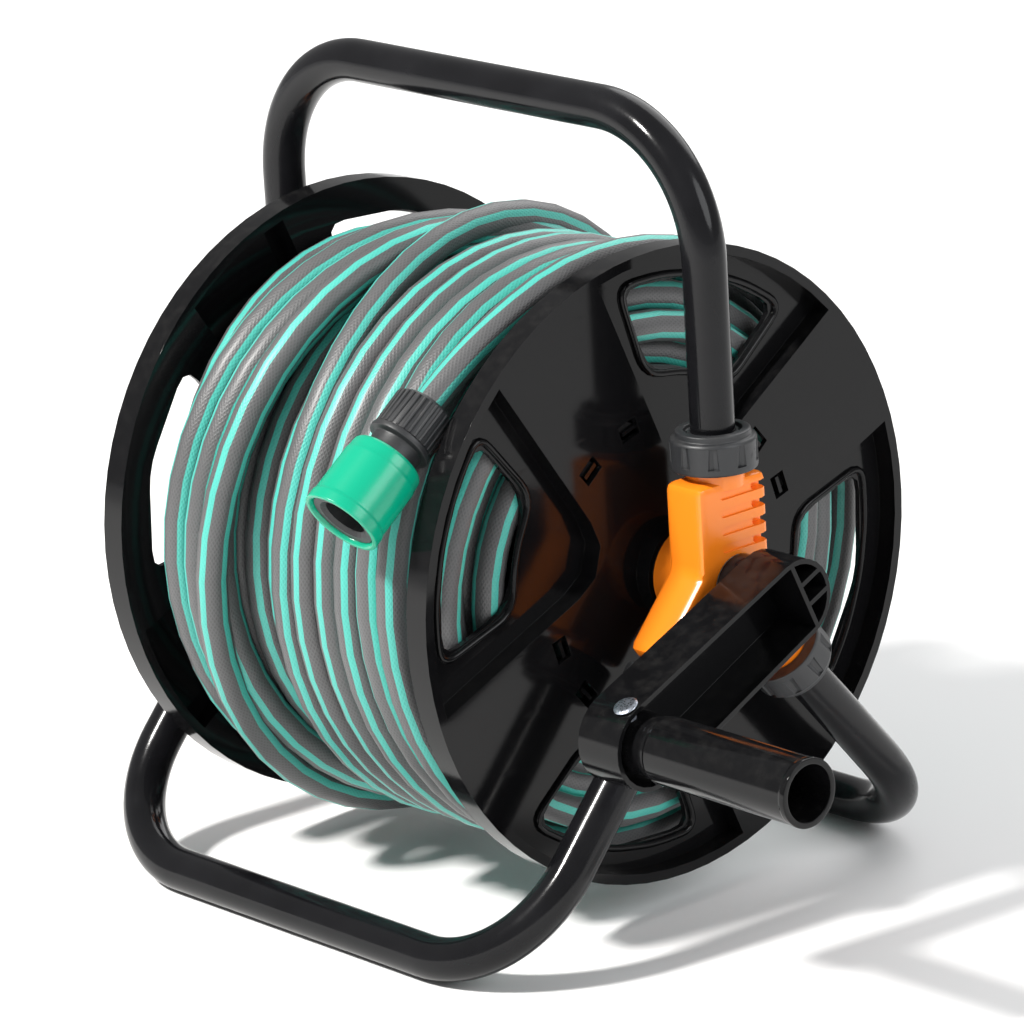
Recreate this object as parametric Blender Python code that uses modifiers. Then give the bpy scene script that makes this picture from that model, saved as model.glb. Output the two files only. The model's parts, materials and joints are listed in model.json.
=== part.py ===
"""Portable garden hose reel: a drum of striped hose in a tubular steel frame, with a folding crank.

World +X is the drum axis towards the crank, -Y is the front and +Z is up, in metres.
The origin is on the ground, under the middle of the frame, drum and crank together.
"""

import math

import bmesh
import bpy
from mathutils import Euler, Matrix, Vector

GAP = 0.0003                  # between pieces that touch
RUN_GAP = 0.0003              # between pieces that turn on each other

# Drum: core, flanges and the hose between them
FLANGE_R = 0.160
FLANGE_OUTER_X = 0.123        # from the drum's middle
FLANGE_THICK = 0.014
FLANGE_WALL = 0.003
RIM_WALL = 0.005
DRUM_PHASE = math.radians(-16.5)
SPOKES = 4
POCKET_IN_R = 0.051
POCKET_SHOULDER_R = 0.062
POCKET_SHOULDER_ANGLE = math.radians(17.6)
POCKET_OUT_ANGLE = math.radians(31.0)
WINDOW_IN_R = 0.098
WINDOW_OUT_R = FLANGE_R - 0.018
WINDOW_IN_ANGLE = math.radians(16)
WINDOW_OUT_ANGLE = math.radians(22)
CORE_R = 0.080
CORE_WALL = 0.003
TAB_WIDTH = 0.009
TAB_ANGLE = math.radians(11)
TAB_ROOT = 0.006
FLANGE_INNER_X = FLANGE_OUTER_X - FLANGE_THICK

# Water way: inlet nipple, its plate, and the elbow in the drum
NIPPLE_R = 0.0086
NIPPLE_BORE_R = NIPPLE_R - 0.0026
NIPPLE_OUT = 0.033            # out of the left bracket
NIPPLE_IN_X = FLANGE_INNER_X - 0.017   # inner end, from the drum's middle
NIPPLE_RIDGE_R = NIPPLE_R + 0.0016
PLATE_THICK = 0.0035
PLATE_SCREW_R = 0.0018
PLATE_SCREW_HEAD_R = 0.0033
PLATE_SCREW_LENGTH = 0.012
STUB_WALL = 0.0025            # of the drum's hollow shaft round the nipple
ELBOW_R = NIPPLE_R + RUN_GAP + 0.0051
ELBOW_IN_X = FLANGE_INNER_X - 0.033
OUTLET_R = 0.008
OUTLET_BORE_R = 0.0055
SEAL_R = 0.0013
INLET_SEAL_R = 0.0007

# Bearings and crank shaft
SHAFT_R = NIPPLE_R + 2 * RUN_GAP + STUB_WALL
BUSH_WALL = 0.003
BUSH_LIP_R = SHAFT_R + 0.0083
BUSH_LIP = 0.0017
HUB_BOSS_R = SHAFT_R + 0.0123
HUB_INNER_R = ELBOW_R + 0.006
HUB_INNER_DEPTH = 0.014
HEX_R = 0.0105
SCREW_R = 0.0025
SCREW_LENGTH = 0.026
WASHER_R = 0.014
WASHER_THICK = 0.0015
PLATE_SCREW_AT = SHAFT_R + 0.0071
PLATE_R = PLATE_SCREW_AT + 0.0037

# Frame: three U tubes that meet in a socket bracket at each side
TUBE_R = 0.011
TUBE_WALL = 0.0012
AXIS_Z = FLANGE_R + 0.0177    # the drum clears the ground
HANDLE_REACH = FLANGE_R + 0.0663   # drum axis to the middle of the handle bar
FRONT_REACH = FLANGE_R + 0.0634    # drum axis to the middle of the front foot bar
REAR_REACH = FLANGE_R + 0.0595     # drum axis to the middle of the rear foot bar
HANDLE_BEND_R = 0.0675
FOOT_BEND_R = 0.063
TUBE_START = SHAFT_R + 0.0193      # drum axis to the legs' ends in the sockets
TUBE_SIDES = 16
BEND_STEPS = 7

# Socket brackets
SOCKET_HALF = TUBE_R + 0.0115
SOCKET_LENGTH = TUBE_START + 0.022
SOCKET_DEPTH = 2 * TUBE_R + 0.004  # along the drum axis
SOCKET_EDGE = 0.0045
SPIGOT_R = TUBE_R + 0.0035
SPIGOT_LENGTH = 0.017
HUB_DISC_R = SHAFT_R + 0.0113
HUB_DISC_DEPTH = 0.010
HUB_CLEAR = 0.011             # flange to bracket
SLOT_COUNT = 4
SLOT_FIRST = SOCKET_LENGTH - 0.0334   # drum axis to the lowest grip slot
SLOT_PITCH = 0.0089
SLOT_HEIGHT = 0.0042
SLOT_DEPTH = 0.0013
SLOT_START = -0.0095          # the slots' rounded end, from the socket's middle
SLOT_DEEP = 0.0065            # past the tube's bore, where the wall is thick
SLOT_DEEP_START = TUBE_R + 0.0012
HUB_FACE = FLANGE_OUTER_X + HUB_CLEAR
BRACKET_IN = HUB_FACE + HUB_DISC_DEPTH
BRACKET_OUT = BRACKET_IN + SOCKET_DEPTH
LEG_X = (BRACKET_IN + BRACKET_OUT) / 2   # the legs' plane

# Collar nuts and the split rings that they squeeze onto the tubes
NUT_R = SPIGOT_R + 0.0069
NUT_LIFT = 0.0042              # the bare neck between a socket and its nut
NUT_LENGTH = SPIGOT_LENGTH - 0.0007
NUT_LIP_R = NUT_R - 0.003
NUT_LIP_LENGTH = 0.003
NUT_MOUTH_R = TUBE_R + 0.0018
NUT_NOTCHES = 9
NUT_NOTCH_R = 0.0026
NUT_TAPER = 0.0035
RING_SPLIT = 0.002
NUT_TOP = SOCKET_LENGTH + NUT_LIFT + GAP + NUT_LENGTH + NUT_LIP_LENGTH

# Crank arm and folding grip
GRIP_R = 0.0165
GRIP_FLARE = 0.0003
GRIP_WALL = 0.003
GRIP_LENGTH = 0.112           # from the pin to the open end
GRIP_ROOT_R = GRIP_R - 0.0007
GRIP_NECK = 0.012
GRIP_SHOULDER = 0.021
ARM_ANGLE = math.radians(204.6)   # from +Y towards +Z
ARM_BACK_X = BRACKET_OUT + 0.015
ARM_WALL = 0.0025
ARM_HUB_R = GRIP_R + GRIP_FLARE + ARM_WALL + 0.0012
ARM_END_R = ARM_HUB_R + 0.002
ARM_BOSS_R = SHAFT_R + 0.0038
WEB_U = -0.0035               # the straight web across the hub end
PIN_U = GRIP_LENGTH + WEB_U + ARM_WALL / 2 + 0.00075   # the folded grip fits the channel
PIN_X = ARM_BACK_X + ARM_WALL + GRIP_R + 0.0018
PIN_R = 0.003
PIN_HEAD_R = 0.0062
PIN_HEAD = 0.0016
ARM_DEPTH = PIN_X - ARM_BACK_X + 0.0067

# Hose and the quick connector on its end
HOSE_R = 0.008
COIL_R = FLANGE_R - 0.009
COIL_LOW_R = COIL_R - 0.009   # beside the crank's flange, where the connector lies
COIL_STEP_X = FLANGE_INNER_X - 0.043
TAIL_X = FLANGE_INNER_X - 0.020
TAIL_START = math.radians(28)     # where the last turn climbs out, from +Y
TAIL_LIFT = math.radians(122)     # where it leaves the coil for the connector
TAIL_R = COIL_R + HOSE_R + GAP    # drum axis to the last turn's middle
CONNECTOR_ANGLE = math.radians(139.4)   # the rear of its nut, from +Y
CONNECTOR_WAY = Vector((0.0, -0.8, -0.6))
CONNECTOR_NUT_R = 0.0163
CONNECTOR_NUT_LENGTH = 0.0215
CONNECTOR_NECK_R = 0.0134
CONNECTOR_NECK_END = 0.036
CONNECTOR_BARREL_R = 0.0154
CONNECTOR_BARREL_END = 0.062
CONNECTOR_SOCKET_R = 0.0112
SLEEVE_WALL = 0.005
SLEEVE_R = CONNECTOR_BARREL_R + SLEEVE_WALL
SLEEVE_START = 0.033
SLEEVE_END = 0.073

ROUND = 24                    # sides of small round pieces
SIDE_VIEW = Euler((math.pi / 2, 0, math.pi / 2))  # local X, Y, Z to world Y, Z, X

COLOURS = {                   # name: colour, roughness, metallic
    "painted_tube": ((0.012, 0.012, 0.014), 0.18, 0.0),
    "orange_plastic": ((0.95, 0.23, 0.012), 0.35, 0.0),
    "collar_plastic": ((0.02, 0.021, 0.023), 0.42, 0.0),
    "black_plastic": ((0.008, 0.008, 0.009), 0.15, 0.0),
    "ring_plastic": ((0.6, 0.6, 0.58), 0.5, 0.0),
    "steel": ((0.55, 0.57, 0.62), 0.3, 1.0),
    "seal_rubber": ((0.015, 0.015, 0.015), 0.7, 0.0),
    "hose_grey": ((0.13, 0.13, 0.135), 0.35, 0.0),
    "green_plastic": ((0.0, 0.33, 0.19), 0.4, 0.0),
}


# ---------------------------------------------------------------- scene and materials

def clear_scene():
    for obj in list(bpy.data.objects):
        bpy.data.objects.remove(obj, do_unlink=True)


def new_collection(name):
    collection = bpy.data.collections.new(name)
    bpy.context.scene.collection.children.link(collection)
    return collection


def make_material(name):
    colour, roughness, metallic = COLOURS[name]
    material = bpy.data.materials.new(name)
    material.use_nodes = True
    shader = material.node_tree.nodes["Principled BSDF"]
    shader.inputs["Base Color"].default_value = (*colour, 1.0)
    shader.inputs["Roughness"].default_value = roughness
    shader.inputs["Metallic"].default_value = metallic
    return material


clear_scene()
REEL = new_collection("garden_hose_reel")
CUTTERS = new_collection("cutters")
MATERIALS = {name: make_material(name) for name in COLOURS}


def finish(obj, material, parent=None):
    """Puts a piece in the reel's collection, with its material, smooth shading and parent."""
    REEL.objects.link(obj)
    obj.parent = parent or reel_middle
    obj.data.materials.clear()
    obj.data.materials.append(MATERIALS[material])
    if obj.type == "MESH":
        obj.data.shade_smooth()
        obj.data.set_sharp_from_angle(angle=math.radians(35))
    return obj


def as_helper(obj, parent=None):
    """Puts a cutter or a shape to be joined in the cutters' collection, out of the render."""
    CUTTERS.objects.link(obj)
    obj.parent = parent or reel_middle
    obj.hide_render = True
    obj.display_type = "WIRE"
    return obj


def boolean(obj, other, operation):
    modifier = obj.modifiers.new(operation.lower(), "BOOLEAN")
    modifier.operation = operation
    modifier.object = other
    return modifier


def cut(obj, other):
    return boolean(obj, other, "DIFFERENCE")


def join(obj, other):
    return boolean(obj, other, "UNION")


# ---------------------------------------------------------------- shapes

def polar(radius, angle):
    return radius * math.cos(angle), radius * math.sin(angle)


def arc(radius, start, end, steps, centre=(0, 0)):
    angles = [start + (end - start) * step / steps for step in range(steps + 1)]
    return [(centre[0] + radius * math.cos(a), centre[1] + radius * math.sin(a)) for a in angles]


def rounded(points, radius, steps=3):
    """The closed outline with its corners rounded by quadratic arcs."""
    outline = []
    for index, corner in enumerate(points):
        here = Vector(corner)
        before, after = Vector(points[index - 1]), Vector(points[(index + 1) % len(points)])
        reach = min(radius, 0.45 * (before - here).length, 0.45 * (after - here).length)
        first = here + (before - here).normalized() * reach
        last = here + (after - here).normalized() * reach
        for step in range(steps + 1):
            t = step / steps
            outline.append(tuple(first * (1 - t) ** 2 + here * 2 * t * (1 - t) + last * t ** 2))
    return outline


def mesh_of(obj):
    """The evaluated object as a plain mesh, with its loose caps welded."""
    bpy.context.view_layer.update()
    evaluated = obj.evaluated_get(bpy.context.evaluated_depsgraph_get())
    mesh = bpy.data.meshes.new_from_object(evaluated)
    shape = bmesh.new()
    shape.from_mesh(mesh)
    bmesh.ops.remove_doubles(shape, verts=shape.verts, dist=1e-6)
    bmesh.ops.recalc_face_normals(shape, faces=shape.faces)
    shape.to_mesh(mesh)
    shape.free()
    return mesh


def plate(name, outlines, low, high):
    """A flat outline in the local XY plane, as a solid from low to high along local Z."""
    curve = bpy.data.curves.new(name, "CURVE")
    curve.dimensions = "2D"
    curve.fill_mode = "BOTH"
    curve.extrude = abs(high - low) / 2
    for outline in outlines:
        spline = curve.splines.new("POLY")
        spline.points.add(len(outline) - 1)
        for point, (x, y) in zip(spline.points, outline):
            point.co = (x, y, 0, 1)
        spline.use_cyclic_u = True
    flat = bpy.data.objects.new(name + "_outline", curve)
    bpy.context.scene.collection.objects.link(flat)
    mesh = mesh_of(flat)
    bpy.data.objects.remove(flat, do_unlink=True)
    shape = bmesh.new()
    shape.from_mesh(mesh)
    bmesh.ops.dissolve_limit(
        shape, angle_limit=math.radians(0.1), verts=shape.verts, edges=shape.edges)
    bmesh.ops.translate(shape, verts=shape.verts, vec=(0, 0, (low + high) / 2))
    shape.to_mesh(mesh)
    shape.free()
    mesh.name = name
    return bpy.data.objects.new(name, mesh)


def turned(name, profile, steps=ROUND):
    """A closed outline of (radius, height) points, turned about local Z with a Screw modifier."""
    area = sum(a[0] * b[1] - b[0] * a[1] for a, b in zip(profile, profile[1:] + profile[:1]))
    if area > 0:
        profile = profile[::-1]
    mesh = bpy.data.meshes.new(name)
    count = len(profile)
    on_axis = [radius < 1e-9 for radius, _ in profile]
    edges = [(i, (i + 1) % count) for i in range(count)]
    edges = [(a, b) for a, b in edges if not (on_axis[a] and on_axis[b])]
    mesh.from_pydata([(radius, 0, height) for radius, height in profile], edges, [])
    obj = bpy.data.objects.new(name, mesh)
    screw = obj.modifiers.new("turn", "SCREW")
    screw.steps = screw.render_steps = steps
    screw.use_merge_vertices = True
    screw.merge_threshold = 1e-5
    screw.use_smooth_shade = True
    return obj


def cylinder(name, radius, low, high, sides=ROUND, turn=0.0):
    """A round bar along local Z, from a cone primitive."""
    shape = bmesh.new()
    place = Matrix.Translation((0, 0, (low + high) / 2)) @ Matrix.Rotation(turn, 4, "Z")
    bmesh.ops.create_cone(
        shape, cap_ends=True, segments=sides, radius1=radius, radius2=radius,
        depth=high - low, matrix=place,
    )
    mesh = bpy.data.meshes.new(name)
    shape.to_mesh(mesh)
    shape.free()
    return bpy.data.objects.new(name, mesh)


def box(name, low, high):
    """A box between two corners, in local axes."""
    low, high = Vector(low), Vector(high)
    shape = bmesh.new()
    size = Matrix.Diagonal((*(high - low), 1))
    bmesh.ops.create_cube(shape, matrix=Matrix.Translation((low + high) / 2) @ size)
    mesh = bpy.data.meshes.new(name)
    shape.to_mesh(mesh)
    shape.free()
    return bpy.data.objects.new(name, mesh)


def group(name, objects):
    """Several separate shapes as one mesh, each in its object's own place."""
    shape = bmesh.new()
    for obj in objects:
        mesh = obj.data.copy()
        mesh.transform(obj.matrix_basis)
        shape.from_mesh(mesh)
        bpy.data.objects.remove(obj, do_unlink=True)
    mesh = bpy.data.meshes.new(name)
    shape.to_mesh(mesh)
    shape.free()
    return bpy.data.objects.new(name, mesh)


def towards(direction):
    """The turn that takes local Z to this direction."""
    return Vector((0, 0, 1)).rotation_difference(Vector(direction)).to_euler()


def tube_through(name, points, radius, sides, caps=True):
    """A bare curve through the points, with a round section."""
    curve = bpy.data.curves.new(name, "CURVE")
    curve.dimensions = "3D"
    curve.bevel_depth = radius
    curve.bevel_resolution = (sides - 4) // 2
    curve.use_fill_caps = caps
    spline = curve.splines.new("POLY")
    spline.points.add(len(points) - 1)
    for point, place in zip(spline.points, points):
        point.co = (*place, 1)
    return bpy.data.objects.new(name, curve)


# ---------------------------------------------------------------- frame directions

def leg_angle(reach, side):
    """The leg's angle from +Y, so that a foot bar of this reach lies on the ground."""
    down = math.asin((AXIS_Z - TUBE_R) / reach)
    return -down if side > 0 else math.pi + down


LEGS = {                      # angle in the side view, reach, bend radius
    "handle": (math.pi / 2, HANDLE_REACH, HANDLE_BEND_R),
    "front": (leg_angle(FRONT_REACH, -1), FRONT_REACH, FOOT_BEND_R),
    "rear": (leg_angle(REAR_REACH, 1), REAR_REACH, FOOT_BEND_R),
}
CONNECTOR_AT = Vector((TAIL_X, *polar(TAIL_R, CONNECTOR_ANGLE)))
OUTLET_X = -(FLANGE_INNER_X - HUB_INNER_DEPTH - OUTLET_R - 2 * GAP)

LOW_Y = -max(FLANGE_R, TUBE_R - FRONT_REACH * math.cos(LEGS["front"][0]))
HIGH_Y = max(FLANGE_R, TUBE_R + REAR_REACH * math.cos(LEGS["rear"][0]))
LOW_X = -(BRACKET_OUT + NIPPLE_OUT)
HIGH_X = PIN_X + GRIP_LENGTH

reel_middle = bpy.data.objects.new("reel_middle", None)
REEL.objects.link(reel_middle)
reel_middle.location = (-(LOW_X + HIGH_X) / 2, -(LOW_Y + HIGH_Y) / 2, AXIS_Z)


def outward(leg, distance, side=0):
    """The point on a leg's centre line at this distance from the drum axis."""
    y, z = polar(distance, LEGS[leg][0])
    return Vector((side * LEG_X, y, z))


# ---------------------------------------------------------------- U tubes

def u_tube(name, leg):
    _, reach, bend = LEGS[leg]
    way = outward(leg, 1)
    corner = LEG_X - bend
    points = []
    for side in (1, -1):
        half = [way * TUBE_START + Vector((side * LEG_X, 0, 0))]
        for step in range(BEND_STEPS + 1):
            turn = math.pi / 2 * step / BEND_STEPS
            along = reach - bend * (1 - math.sin(turn))
            half.append(way * along + Vector((side * (corner + bend * math.cos(turn)), 0, 0)))
        points += half if side > 0 else half[::-1]
    curve = tube_through(name + "_line", points, TUBE_R, TUBE_SIDES, caps=False)
    bpy.context.scene.collection.objects.link(curve)
    mesh = mesh_of(curve)
    bpy.data.objects.remove(curve, do_unlink=True)
    mesh.name = name
    tube = bpy.data.objects.new(name, mesh)
    wall = tube.modifiers.new("wall", "SOLIDIFY")
    wall.thickness = TUBE_WALL
    wall.offset = -1
    wall.use_even_offset = True
    return finish(tube, "painted_tube")


# ---------------------------------------------------------------- brackets, nuts and rings

def bracket_outline():
    """A three-armed outline: each socket's two end corners, then where its side meets the next."""
    angles = sorted(angle % (2 * math.pi) for angle, _, _ in LEGS.values())
    outline = []
    for index, angle in enumerate(angles):
        following = angles[(index + 1) % len(angles)]
        way, left = Vector(polar(1, angle)), Vector(polar(1, angle + math.pi / 2))
        half_turn = ((following - angle) % (2 * math.pi)) / 2
        outline.append(way * SOCKET_LENGTH - left * SOCKET_HALF)
        outline.append(way * SOCKET_LENGTH + left * SOCKET_HALF)
        outline.append(Vector(polar(SOCKET_HALF / math.sin(half_turn), angle + half_turn)))
    return [tuple(point) for point in outline]


def slot_outline(middle, start):
    """A grip slot at this height, with a round end, open past the socket's far side."""
    radius = SLOT_HEIGHT / 2
    angles = [math.pi / 2 + math.pi * step / 6 for step in range(7)]
    outline = [(start + radius + y, middle + z) for y, z in (polar(radius, a) for a in angles)]
    return outline + [(SOCKET_HALF + GAP, middle - radius), (SOCKET_HALF + GAP, middle + radius)]


def bracket(name, side):
    low, high = sorted((side * BRACKET_IN, side * BRACKET_OUT))
    body = plate(name, [bracket_outline()], low, high)
    body.rotation_euler = SIDE_VIEW
    edge = body.modifiers.new("edges", "BEVEL")
    edge.width = SOCKET_EDGE
    edge.segments = 2
    edge.limit_method = "ANGLE"
    low, high = sorted((side * HUB_FACE, side * (BRACKET_IN + SOCKET_DEPTH / 3)))
    disc = as_helper(cylinder(name + "_disc", HUB_DISC_R, low, high, 2 * ROUND))
    disc.rotation_euler = SIDE_VIEW
    join(body, disc)
    for leg in LEGS:
        place = towards(outward(leg, 1))
        low, high = SOCKET_LENGTH - SOCKET_EDGE, SOCKET_LENGTH + SPIGOT_LENGTH
        spigot = cylinder(f"{name}_{leg}_spigot", SPIGOT_R, low, high)
        bore = cylinder(f"{name}_{leg}_bore", TUBE_R + GAP, TUBE_START - GAP, NUT_TOP)
        for helper, action in ((spigot, join), (bore, cut)):
            as_helper(helper)
            helper.rotation_euler = place
            helper.location = (side * LEG_X, 0, 0)
            action(body, helper)
    low, high = sorted((side * (HUB_FACE - GAP), side * (BRACKET_OUT + GAP)))
    axle_hole = as_helper(cylinder(name + "_axle_hole", SHAFT_R + RUN_GAP + BUSH_WALL + GAP, low, high))
    axle_hole.rotation_euler = SIDE_VIEW
    cut(body, axle_hole)
    for part, start, depth in (("", SLOT_START, SLOT_DEPTH), ("_deep", SLOT_DEEP_START, SLOT_DEEP)):
        low, high = sorted((side * (BRACKET_OUT - depth), side * (BRACKET_OUT + GAP)))
        outlines = [slot_outline(SLOT_FIRST + index * SLOT_PITCH, start) for index in range(SLOT_COUNT)]
        slots = as_helper(plate(name + "_slots" + part, outlines, low, high))
        slots.rotation_euler = SIDE_VIEW
        cut(body, slots)
    return finish(body, "orange_plastic")


def collar_nut_mesh():
    """The collar nut about local Z, from its skirt at 0 to its lip."""
    thread = SPIGOT_R + GAP
    shoulder = SPIGOT_LENGTH - NUT_LIFT + GAP
    profile = [
        (thread, 0), (NUT_R, 0), (NUT_R, NUT_LENGTH), (NUT_LIP_R, NUT_LENGTH),
        (NUT_LIP_R, NUT_LENGTH + NUT_LIP_LENGTH), (NUT_MOUTH_R, NUT_LENGTH + NUT_LIP_LENGTH),
        (NUT_MOUTH_R, shoulder + NUT_TAPER), (thread, shoulder),
    ]
    nut = as_helper(turned("collar_nut_blank", profile, 2 * NUT_NOTCHES))
    notches = []
    for index in range(NUT_NOTCHES):
        angle = 2 * math.pi * index / NUT_NOTCHES
        notch = cylinder(f"notch_{index}", NUT_NOTCH_R, 0.003, NUT_LENGTH + GAP, 8)
        notch.location = (*polar(NUT_R + NUT_NOTCH_R / 4, angle), 0)
        notches.append(notch)
    bpy.context.view_layer.update()
    cut(nut, as_helper(group("collar_nut_notches", notches)))
    return mesh_of(nut)


def clamp_ring_mesh():
    """The split cone ring under the nut's shoulder, about local Z from 0."""
    bore = TUBE_R + GAP
    top = NUT_LIFT + NUT_LENGTH + NUT_LIP_LENGTH - SPIGOT_LENGTH - 5 * GAP
    profile = [
        (bore, 0), (SPIGOT_R - GAP, 0), (NUT_MOUTH_R - GAP, NUT_TAPER),
        (NUT_MOUTH_R - GAP, top), (bore, top),
    ]
    ring = as_helper(turned("clamp_ring_blank", profile))
    low, high = (0, -RING_SPLIT / 2, -GAP), (NUT_R, RING_SPLIT / 2, NUT_LENGTH)
    split = as_helper(box("clamp_ring_split", low, high))
    cut(ring, split)
    return mesh_of(ring)


def nuts_and_rings():
    nut_mesh, ring_mesh = collar_nut_mesh(), clamp_ring_mesh()
    for side, side_name in ((1, "right"), (-1, "left")):
        for leg in LEGS:
            nut = bpy.data.objects.new(f"{side_name}_{leg}_collar_nut", nut_mesh)
            nut.location = outward(leg, SOCKET_LENGTH + NUT_LIFT + GAP, side)
            ring = bpy.data.objects.new(f"{side_name}_{leg}_clamp_ring", ring_mesh)
            ring.location = outward(leg, SOCKET_LENGTH + SPIGOT_LENGTH + 2 * GAP, side)
            for obj, material in ((nut, "collar_plastic"), (ring, "collar_plastic")):
                obj.rotation_euler = towards(outward(leg, 1))
                finish(obj, material)


def bush(name, side):
    """A flanged bearing bush in the bracket's axle hole."""
    bore, barrel = SHAFT_R + RUN_GAP, SHAFT_R + RUN_GAP + BUSH_WALL
    lip_out, lip_in = side * (HUB_FACE - GAP - BUSH_LIP), side * (HUB_FACE - GAP)
    end = side * (BRACKET_OUT - GAP)
    profile = [
        (bore, lip_out), (BUSH_LIP_R, lip_out), (BUSH_LIP_R, lip_in),
        (barrel, lip_in), (barrel, end), (bore, end),
    ]
    piece = turned(name, profile)
    piece.rotation_euler = SIDE_VIEW
    return finish(piece, "ring_plastic")


# ---------------------------------------------------------------- drum

def pocket_outline(centre):
    """A deep pocket between two spokes: a wide arc at the rim, tapering to the hub."""
    out_r = FLANGE_R - RIM_WALL
    rim = arc(out_r, centre - POCKET_OUT_ANGLE, centre + POCKET_OUT_ANGLE, 10)
    return rim + [
        polar(POCKET_SHOULDER_R, centre + POCKET_SHOULDER_ANGLE),
        polar(POCKET_IN_R, centre + POCKET_SHOULDER_ANGLE / 2),
        polar(POCKET_IN_R, centre - POCKET_SHOULDER_ANGLE / 2),
        polar(POCKET_SHOULDER_R, centre - POCKET_SHOULDER_ANGLE),
    ]


def window_outline(centre):
    corners = [
        polar(WINDOW_OUT_R, centre - WINDOW_OUT_ANGLE),
        polar(WINDOW_OUT_R / math.cos(WINDOW_OUT_ANGLE / 2), centre),
        polar(WINDOW_OUT_R, centre + WINDOW_OUT_ANGLE),
        polar(WINDOW_IN_R, centre + WINDOW_IN_ANGLE),
        polar(WINDOW_IN_R, centre - WINDOW_IN_ANGLE),
    ]
    return rounded(corners, 0.012)


def spoke_recess_outline(centre):
    """The hollow behind a spoke's flat face, a wall's thickness inside the pockets beside it."""
    half_turn = math.pi / SPOKES
    out_r = FLANGE_R - RIM_WALL
    out_half = out_r * math.sin(half_turn - POCKET_OUT_ANGLE) - FLANGE_WALL
    in_half = POCKET_SHOULDER_R * math.sin(half_turn - POCKET_SHOULDER_ANGLE) - FLANGE_WALL
    start = max(HUB_BOSS_R + FLANGE_WALL, in_half + FLANGE_WALL)
    along, across = Vector(polar(1, centre)), Vector(polar(1, centre + math.pi / 2))
    rim = math.asin(out_half / out_r)
    outline = arc(out_r, centre - rim, centre + rim, 5)
    outline += [
        tuple(along * POCKET_SHOULDER_R + across * in_half), tuple(along * start + across * in_half),
        tuple(along * start - across * in_half), tuple(along * POCKET_SHOULDER_R - across * in_half),
    ]
    return outline


def flange(name, side, stub):
    """A drum flange; stub is how far its hub shaft reaches out, or None for the crank's socket."""
    inner, outer = side * FLANGE_INNER_X, side * FLANGE_OUTER_X
    boss_end = side * (HUB_FACE - GAP - BUSH_LIP - RUN_GAP)
    hub_end = side * (FLANGE_INNER_X - HUB_INNER_DEPTH)
    bore = NIPPLE_R + 2 * RUN_GAP
    if stub is None:
        nose = [(HUB_BOSS_R, boss_end)]
        bore = 0.006
    else:
        nose = [(HUB_BOSS_R, boss_end), (SHAFT_R, boss_end), (SHAFT_R, side * stub)]
    end = nose[-1][1]
    profile = [
        (bore, hub_end), (HUB_INNER_R, hub_end), (HUB_INNER_R, inner), (FLANGE_R, inner),
        (FLANGE_R, outer), (HUB_BOSS_R, outer), *nose, (bore, end),
    ]
    body = turned(name, profile, 72)
    body.rotation_euler = SIDE_VIEW
    quarter = 2 * math.pi / SPOKES
    pocket_centres = [DRUM_PHASE + index * quarter for index in range(SPOKES)]
    spoke_centres = [centre + quarter / 2 for centre in pocket_centres]
    clear = side * GAP
    cutters = [
        ("pockets", pocket_outline, pocket_centres, inner + side * FLANGE_WALL, outer + clear),
        ("windows", window_outline, pocket_centres, inner - clear, outer),
        ("recesses", spoke_recess_outline, spoke_centres, inner - clear, outer - side * FLANGE_WALL),
    ]
    for label, outline, centres, start, stop in cutters:
        low, high = sorted((start, stop))
        shape = plate(f"{name}_{label}", [outline(centre) for centre in centres], low, high)
        shape.rotation_euler = SIDE_VIEW
        cut(body, as_helper(shape))
    holes = []
    for centre in spoke_centres:
        for tab in (centre - TAB_ANGLE, centre + TAB_ANGLE):
            half = TAB_WIDTH / 2 + FLANGE_WALL / 2
            low, high = sorted((outer - side * 2 * FLANGE_WALL, outer + clear))
            near, far = CORE_R - 2 * CORE_WALL, CORE_R + CORE_WALL
            hole = box(f"{name}_hole", (near, -half, low), (far, half, high))
            hole.rotation_euler = (0, 0, tab)
            holes.append(hole)
    bpy.context.view_layer.update()
    shape = as_helper(group(name + "_snap_holes", holes))
    shape.rotation_euler = SIDE_VIEW
    cut(body, shape)
    if stub is None:
        low, high = sorted((hub_end - clear, boss_end + clear))
        cut(body, as_helper(cylinder(name + "_hex", HEX_R + GAP, low, high, 6), crank_frame))
    else:
        low, high = sorted((hub_end - clear, side * (FLANGE_INNER_X - GAP)))
        seat = as_helper(cylinder(name + "_elbow_seat", ELBOW_R + GAP, low, high))
        seat.rotation_euler = SIDE_VIEW
        cut(body, seat)
    return finish(body, "black_plastic", drum_axis)


def drum_core():
    """The tube that the hose winds on, with snap tabs that reach into the flanges."""
    end = FLANGE_INNER_X - GAP
    inside = CORE_R - CORE_WALL
    core = turned("drum_core", [(inside, -end), (CORE_R, -end), (CORE_R, end), (inside, end)], 64)
    core.rotation_euler = SIDE_VIEW
    quarter = 2 * math.pi / SPOKES
    tabs = []
    for side in (1, -1):
        low, high = sorted((side * (end - TAB_ROOT), side * (FLANGE_OUTER_X - GAP)))
        for index in range(SPOKES):
            for offset in (-TAB_ANGLE, TAB_ANGLE):
                near, far = inside + GAP, CORE_R - 2 * GAP
                tab = box("tab", (near, -TAB_WIDTH / 2, low), (far, TAB_WIDTH / 2, high))
                tab.rotation_euler = (0, 0, DRUM_PHASE + (index + 0.5) * quarter + offset)
                tabs.append(tab)
    bpy.context.view_layer.update()
    shape = as_helper(group("drum_core_tabs", tabs))
    shape.rotation_euler = SIDE_VIEW
    join(core, shape)
    hole = as_helper(cylinder("drum_core_hose_hole", OUTLET_R + GAP, CORE_R / 2, CORE_R + CORE_WALL))
    hole.location = (OUTLET_X, 0, 0)
    cut(core, hole)
    return finish(core, "black_plastic", drum_axis)


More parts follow.
